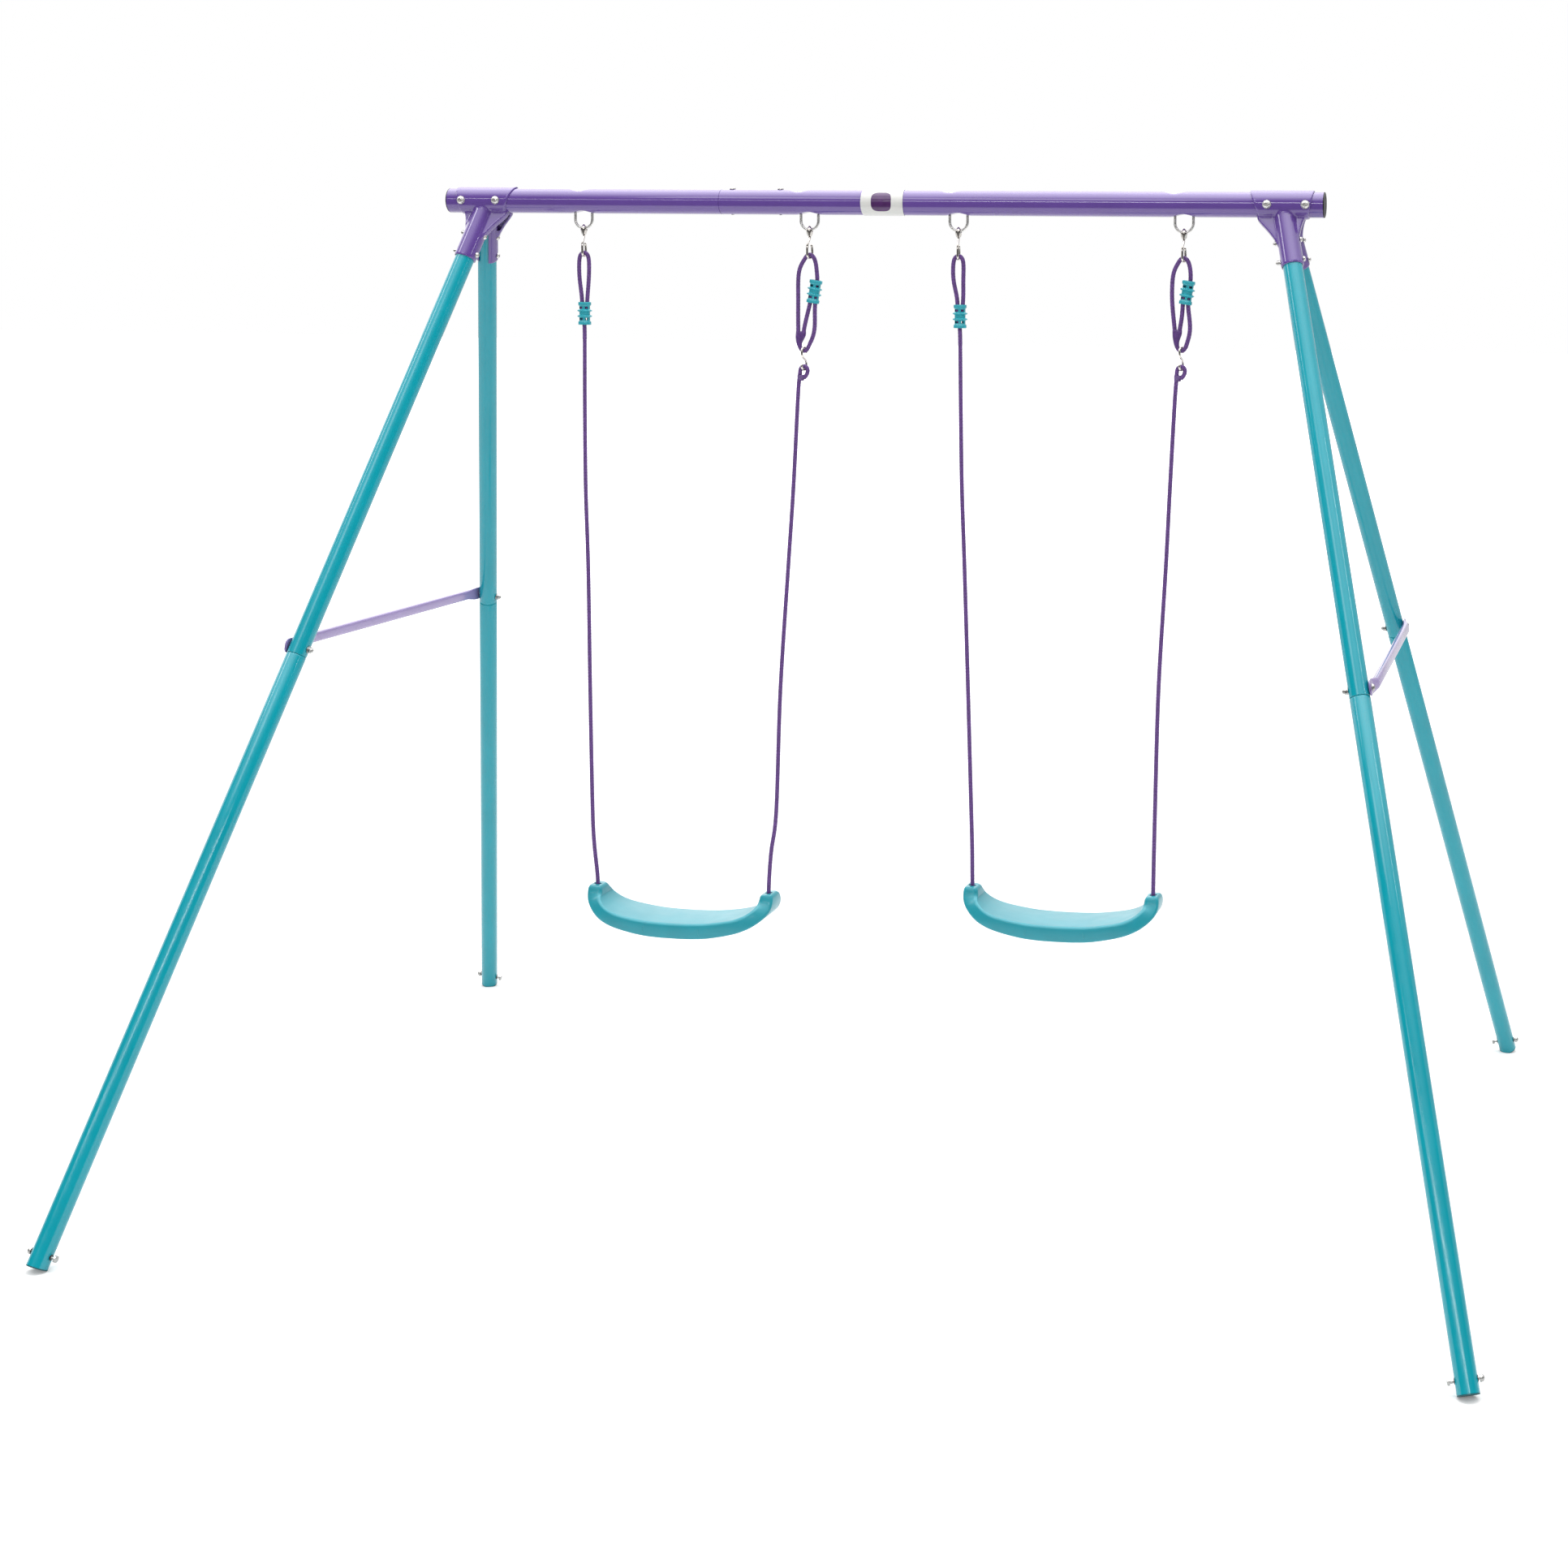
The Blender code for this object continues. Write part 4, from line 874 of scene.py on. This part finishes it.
def seat_section(centre, way, low, high, front, back, bevel, count=7):
    """Rounded rectangle square to the seat's run; its upper edges are rounder."""
    up = Vector((-way.z, 0, way.x))
    ring = []
    for cx, cz, start, r in ((back, low, 270, bevel * 0.7), (back, high, 0, bevel), (-front, high, 90, bevel),
                             (-front, low, 180, bevel * 0.7)):
        ox, oz = cx - r * (1 if cx > 0 else -1), cz - r * (1 if cz == high else -1)
        for k in range(count):
            a = radians(start + 90 * k / (count - 1))
            ring.append(centre + Y_AXIS * (ox + r * cos(a)) + up * (oz + r * sin(a)))
    return ring


def stepped(table, from_end):
    return float(np.interp(from_end, [p[0] for p in table], [p[1] for p in table]))


def seat_marks(total):
    """Stations along a seat, closer together at its rounded ends."""
    ends = [SEAT_ROUND * (1 - cos(pi / 2 * k / 8)) for k in range(8)]
    between = list(np.linspace(SEAT_ROUND, total - SEAT_ROUND, 110))
    return ends + between + [total - e for e in reversed(ends)]


def build_seats():
    run = seat_run()
    middle_line = run[:, :2]
    ways = np.gradient(middle_line, axis=0)
    ways /= np.linalg.norm(ways, axis=1)[:, None]
    along = distance_along(middle_line)
    total = along[-1]

    def at(s):
        x, z, t, d = (float(np.interp(s, along, run[:, k])) for k in (0, 1, 3, 4))
        w = Vector((float(np.interp(s, along, ways[:, 0])), 0, float(np.interp(s, along, ways[:, 1])))).normalized()
        return x, z, t, d, w

    rib_s = [float(np.interp(x, run[:, 0][20:-20], along[20:-20])) for x in (-0.121, -0.074, 0.0, 0.074, 0.121)]
    edges = [0.052] + rib_s + [total - 0.052]
    half_rib = 0.0018
    cells = [(a + half_rib, b - half_rib) for a, b in zip(edges, edges[1:])]
    for side, (cx, mouth) in SEATS.items():
        rings = []
        for s in seat_marks(total):
            x, z, t, d, w = at(s)
            edge = min(s, total - s)
            rounded = 0.66 + 0.34 * (1 - (1 - min(edge / SEAT_ROUND, 1.0)) ** 2) ** 0.5
            shrink = 1.0 if edge > SEAT_ROUND else rounded
            back = stepped(SEAT_BACK, edge) * (0.75 + 0.25 * shrink)
            fillet = stepped(SEAT_FILLET, edge)
            bevel = 0.0066 + 0.0030 * max(0.0, 1 - edge / 0.05)
            rings.append(seat_section(Vector((cx + x, 0, mouth + z)), w, -t * shrink, t * shrink + fillet,
                                      d * (0.75 + 0.25 * shrink), back, min(bevel, t * shrink * 0.72, back * 0.8)))
        seat = skin(f"swing_seat_{side}", rings)
        for a, b in cells:
            cavity = []
            for s in np.linspace(a, b, max(6, int((b - a) / 0.005))):
                x, z, t, d, w = at(s)
                back = stepped(SEAT_BACK, min(s, total - s)) - SEAT_WALL
                cavity.append(seat_section(Vector((cx + x, 0, mouth + z)), w, -t - 0.004, t - SEAT_WALL,
                                           d - SEAT_WALL, back, 0.0022, 3))
            boolean(seat, skin("cavity", cavity))
        for sign in (-1, 1):
            top = Vector((cx + sign * SEAT_HALF, 0, mouth + 0.01))
            hole = [(0, 0.0085), (0.0095, 0.0078), (0.0125, 0.0064), (0.036, 0.0062)]
            boolean(seat, turned("tool", top, -Z_AXIS, hole, 32))
        shade(seat, 42)
        place(seat, f"{side}_seat", "seat_plastic", f"seat_{side}")
        for k, x in enumerate((-0.062, 0.056)):
            mark = seat_tick(f"seat_rib_mark_{side}_{k}", cx + x, mouth, at, run, along, x)
            place(mark, f"{side}_seat", "seat_plastic")


def seat_tick(name, x_world, mouth, at, run, along, x):
    """A short moulded rib that stands a little proud of the seat's front face."""
    s = float(np.interp(x, run[:, 0][20:-20], along[20:-20]))
    _, z, _, d, w = at(s)
    up = Vector((-w.z, 0, w.x))
    centre = Vector((x_world, -d, mouth + z))
    rings = []
    for h, r in ((-0.0078, 0.0003), (-0.0070, 0.0011), (-0.0040, 0.0014), (0.0020, 0.0014), (0.0050, 0.0011),
                 (0.0058, 0.0003)):
        rings.append(circle(centre + up * h + Y_AXIS * 0.0006, w, Y_AXIS, r, 12))
    return skin(name, rings)


# ---- ropes
def flat(points):
    return [(x, 0.0, z) for x, z in points]


def bend(x, z, start, end):
    return arc((x, z), HOOK_WIRE_R + ROPE_R + 0.0014, start, end, 4)


def eased(path, bends=(), passes=30, far_passes=110):
    """Even out small waves of an evenly spaced path, most of all away from its bends round wires."""
    p = np.array(path, float)
    for _ in range(passes):
        p[1:-1] = 0.5 * p[1:-1] + 0.25 * (p[:-2] + p[2:])
    near = [np.linalg.norm(p[:, [0, 2]] - np.array(c), axis=1) for c in bends]
    ends = [np.linalg.norm(p - p[k], axis=1) for k in (0, -1)]
    away = np.clip((np.min(near + ends, axis=0) - 0.009) / 0.012, 0, 1)[1:-1, None]
    for _ in range(far_passes):
        p[1:-1] += away * (0.25 * (p[:-2] + p[2:]) - 0.5 * p[1:-1])
    return p


def braid(name, points, radius=LOOK_R, strands=8, pitch=0.0125, sides=32):
    """A braided rope: crossing strands raised on a tube along points."""
    p, u, v = transported(points)
    s = distance_along(p)[:, None]
    a = (np.arange(sides) * 2 * pi / sides)[None, :]
    weave = np.cos(strands / 2 * a + 2 * pi * s / pitch) * np.cos(strands / 2 * a - 2 * pi * s / pitch)
    r = radius * (0.97 + 0.05 * weave)
    rings = p[:, None] + r[..., None] * (u[:, None] * np.cos(a)[..., None] + v[:, None] * np.sin(a)[..., None])
    count = len(p)
    verts = rings.reshape(-1, 3)
    grid = np.arange(count * sides).reshape(count, sides)
    nxt = np.roll(grid, -1, axis=1)
    quads = np.stack([grid[:-1], nxt[:-1], nxt[1:], grid[1:]], axis=-1).reshape(-1, 4)
    faces = quads.tolist() + [grid[0][::-1].tolist(), grid[-1].tolist()]
    obj = mesh_object(name, verts.tolist(), faces)
    tidy(obj)
    shade(obj, 80)
    return obj


# x and height of points along each rope, from the seat up
LONG_ROPES = {
    1: [(-0.5852, 0.5065), (-0.5865, 0.5350), (-0.5925, 0.5900), (-0.5962, 0.6618), (-0.6003, 0.9148),
        (-0.6033, 1.1661), (-0.6080, 1.3327), (-0.6090, 1.4986), (-0.6086, 1.6560)],
    3: [(0.2098, 0.5460), (0.2092, 0.5750), (0.2085, 0.6300), (0.2062, 0.7012), (0.1980, 0.9468),
        (0.1893, 1.1910), (0.1829, 1.3529), (0.1797, 1.5141), (0.1774, 1.6600)]}
SHORT_ROPES = {
    "left": (2, [(-0.2172, 0.5065), (-0.2168, 0.5350), (-0.2120, 0.6000), (-0.2014, 0.6811), (-0.1928, 0.9311),
                 (-0.1766, 1.1795), (-0.1657, 1.3440), (-0.1574, 1.5075), (-0.1545, 1.5560)]),
    "right": (4, [(0.5778, 0.5460), (0.5779, 0.5750), (0.5785, 0.6400), (0.5796, 0.7193), (0.5838, 0.9623),
                  (0.5955, 1.2037), (0.6020, 1.3635), (0.6090, 1.5226), (0.6118, 1.5690)])}
# low on the right, up the left side, down from the hook on the right, and the tail
LOOPS = {
    "left": (
        2, [(-0.1218, 1.6923), (-0.1212, 1.6693), (-0.1245, 1.6463), (-0.1320, 1.6330)],
        [(-0.1550, 1.6340), (-0.1566, 1.6450), (-0.1560, 1.6550), (-0.1564, 1.6872), (-0.1562, 1.7240),
         (-0.1564, 1.7600), (-0.1535, 1.7850), (-0.1445, 1.7980)],
        [(-0.1205, 1.7980), (-0.1180, 1.7860), (-0.1178, 1.7700)],
        [(-0.1357, 1.6967), (-0.1404, 1.6782), (-0.1440, 1.6620), (-0.1449, 1.6520)]),
    "right": (
        4, [(0.6353, 1.7022), (0.6380, 1.6799), (0.6380, 1.6640), (0.6325, 1.6460)],
        [(0.6105, 1.6460), (0.6085, 1.6560), (0.6078, 1.6700), (0.6045, 1.6973), (0.6015, 1.7331),
         (0.6022, 1.7700), (0.6050, 1.7880), (0.6120, 1.7980)],
        [(0.6350, 1.7980), (0.6380, 1.7880), (0.6375, 1.7760)],
        [(0.6224, 1.7020), (0.6207, 1.6886), (0.6182, 1.6760), (0.6172, 1.6660)])}


def declare(obj, body, node):
    place(obj, body, "rope", node)


def build_ropes():
    for i, run in LONG_ROPES.items():
        hx = HANGER_X[i - 1]
        ax, az, _ = ADJUSTERS[i - 1]
        loop = [run[-1], (ax - 0.0020, az - 0.0120), (ax - 0.0047, az + 0.0010), (ax - 0.0050, az + 0.0180)]
        loop += [(ax - 0.0066, az + 0.0400), (hx - 0.0100, az + 0.0700)]
        foot = HOOK_LOW - 0.0100
        loop += [(hx - 0.0108, foot)] + bend(hx, HOOK_LOW, 160, 20) + [(hx + 0.0108, foot)]
        loop += [(hx + 0.0100, az + 0.0700), (ax + 0.0066, az + 0.0400), (ax + 0.0050, az + 0.0180)]
        loop += [(ax + 0.0050, az + 0.0060)]
        path = eased(smooth(flat(run[:-1] + loop), ROPE_STEP), [(hx, HOOK_LOW)])
        declare(braid(f"hanging_rope_{i}", path), SWING[i], f"swing_rope_{i}")
    for side, (i, run) in SHORT_ROPES.items():
        sx, sz = S_HOOKS[side]
        low = sz - S_HIGH
        eye = [(sx - 0.0084, low - 0.0100)] + bend(sx, low, 180, 0) + [(sx + 0.0072, low - 0.0075)]
        eye += [(sx + 0.0042, low - 0.0125), (sx - 0.0004, low - 0.0165)]
        path = eased(smooth(flat(run + eye), ROPE_STEP), [(sx, low)])
        declare(braid(f"hanging_rope_{i}", path), SWING[i], f"swing_rope_{i}")
    for side, (i, low_right, high_left, high_right, tail) in LOOPS.items():
        hx = HANGER_X[i - 1]
        ax, az, lean = ADJUSTERS[i - 1]
        sx, sz = S_HOOKS[side]
        a = radians(lean)

        def lane(p, t):
            return (ax + p * cos(a) + t * sin(a), az - p * sin(a) + t * cos(a))

        path = [lane(0.0050, -0.0060), lane(0.0050, -0.0232)] + low_right
        path += bend(sx, sz + S_HIGH, -25, -155) + high_left
        path += bend(hx, HOOK_LOW, 160, 20) + high_right + [lane(0.0042, 0.0232), lane(0.0036, 0.0120)]
        path += [lane(-0.0030, 0.0030), lane(-0.0050, -0.0080), lane(-0.0050, -0.0232)] + tail
        path = eased(smooth(flat(path), ROPE_STEP), [(hx, HOOK_LOW), (sx, sz + S_HIGH)])
        declare(braid(f"adjusting_loop_{side}", path), f"{side}_swing", f"loop_rope_{side}")
        build_sleeve(side, high_left, tail)


def build_sleeve(side, high_left, tail):
    """The shrink sleeve that joins the loop's end to its standing side, tapered at both ends."""
    sx, sz = S_HOOKS[side]
    turn_x, turn_z = bend(sx, sz + S_HIGH, -25, -155)[-1]
    low, end = turn_z + 0.004, tail[-1][1] + 0.005
    heights = [turn_z] + [p[1] for p in high_left[:4]]
    standing = [turn_x] + [p[0] for p in high_left[:4]]
    tail_heights, tail_x = [tail[-1][1], tail[-2][1]], [tail[-1][0], tail[-2][0]]
    shape = []
    steps, sleeve_passes = 60, 8
    for k in range(steps + 1):
        f = k / steps
        z = low + f * (end - low)
        left = float(np.interp(z, heights, standing))
        other = float(np.interp(z, tail_heights, tail_x))
        spread = (other - left) * (0.5 - 0.5 * cos(pi * min(1.0, f / 0.85)))
        wrap = 0.0006 * (1 - (2 * f - 1) ** 8)
        shape.append((left + spread / 2, z, spread / 2 + LOOK_R + wrap, LOOK_R + wrap))
    for _ in range(sleeve_passes):
        shape = shape[:1] + [tuple((a + 2 * b + c) / 4 for a, b, c in zip(*run)) for run in
                             zip(shape, shape[1:], shape[2:])] + shape[-1:]
    rings = [[Vector((x + p, q, z)) for p, q in oval(wide, deep, 48, 0.95)] for x, z, wide, deep in shape]
    place(skin(f"splice_sleeve_{side}", rings), f"{side}_swing", "sleeve")
    build_whipping(side)


def build_whipping(side):
    """The band that closes the eye of the lower rope under its S-hook."""
    sx, sz = S_HOOKS[side]
    low = sz - S_HIGH
    centre = Vector((sx - 0.0058, 0, low - 0.0150))
    rings = []
    for k in range(25):
        f = k / 24
        swell = 0.0007 * (1 - (2 * f - 1) ** 6) + 0.00022 * cos(2 * pi * 6 * f)
        shift = 0.0034 * (1 - 0.5 * f)
        at = centre + Vector((-0.0012 * f, 0, 0.0050 - 0.0120 * f))
        rings.append([at + Vector((p, q, 0)) for p, q in oval(LOOK_R + shift + swell, LOOK_R + swell, 32, 0.95)])
    place(skin(f"eye_whipping_{side}", rings), f"{side}_swing", "sleeve")


def build_knots():
    """The stopper knot under each end of a seat."""
    for side, (cx, mouth) in SEATS.items():
        for k, sign in enumerate((-1, 1)):
            points = []
            for j in range(60):
                t = 2 * pi * j / 60
                points.append((cx + sign * SEAT_HALF - sign * 0.0005 + 0.0021 * (sin(t) + 1.2 * sin(2 * t)),
                               0.0024 * (cos(t) - 1.2 * cos(2 * t)), mouth - 0.0240 - 0.0028 * sin(3 * t)))
            path = smooth(points[:-2], 0.0012)
            place(tube(f"stopper_knot_{side}_{k}", path, 0.0024, 12), f"{side}_seat", "rope")


def build_splice_bolts():
    for name, x in zip(("inner", "outer"), SPLICE_BOLTS):
        place(bolt(f"joint_bolt_{name}", Vector((SPLICE_X + x, 0, AXIS_Z)), Z_AXIS, BAR_R + 0.0001, BAR_R + 0.0002,
                   0.0062, 0.0040, 0.0029, 0.0012), "frame", "zinc", f"splice_bolt_{name}")


FINISHES = build_finishes()
build_camera()
build_studio()
build_ropes()
build_bar()
build_splice_bolts()
build_legs()
build_brackets()
build_braces()
build_hangers()
build_adjusters()
build_s_hooks()
build_seats()
build_knots()
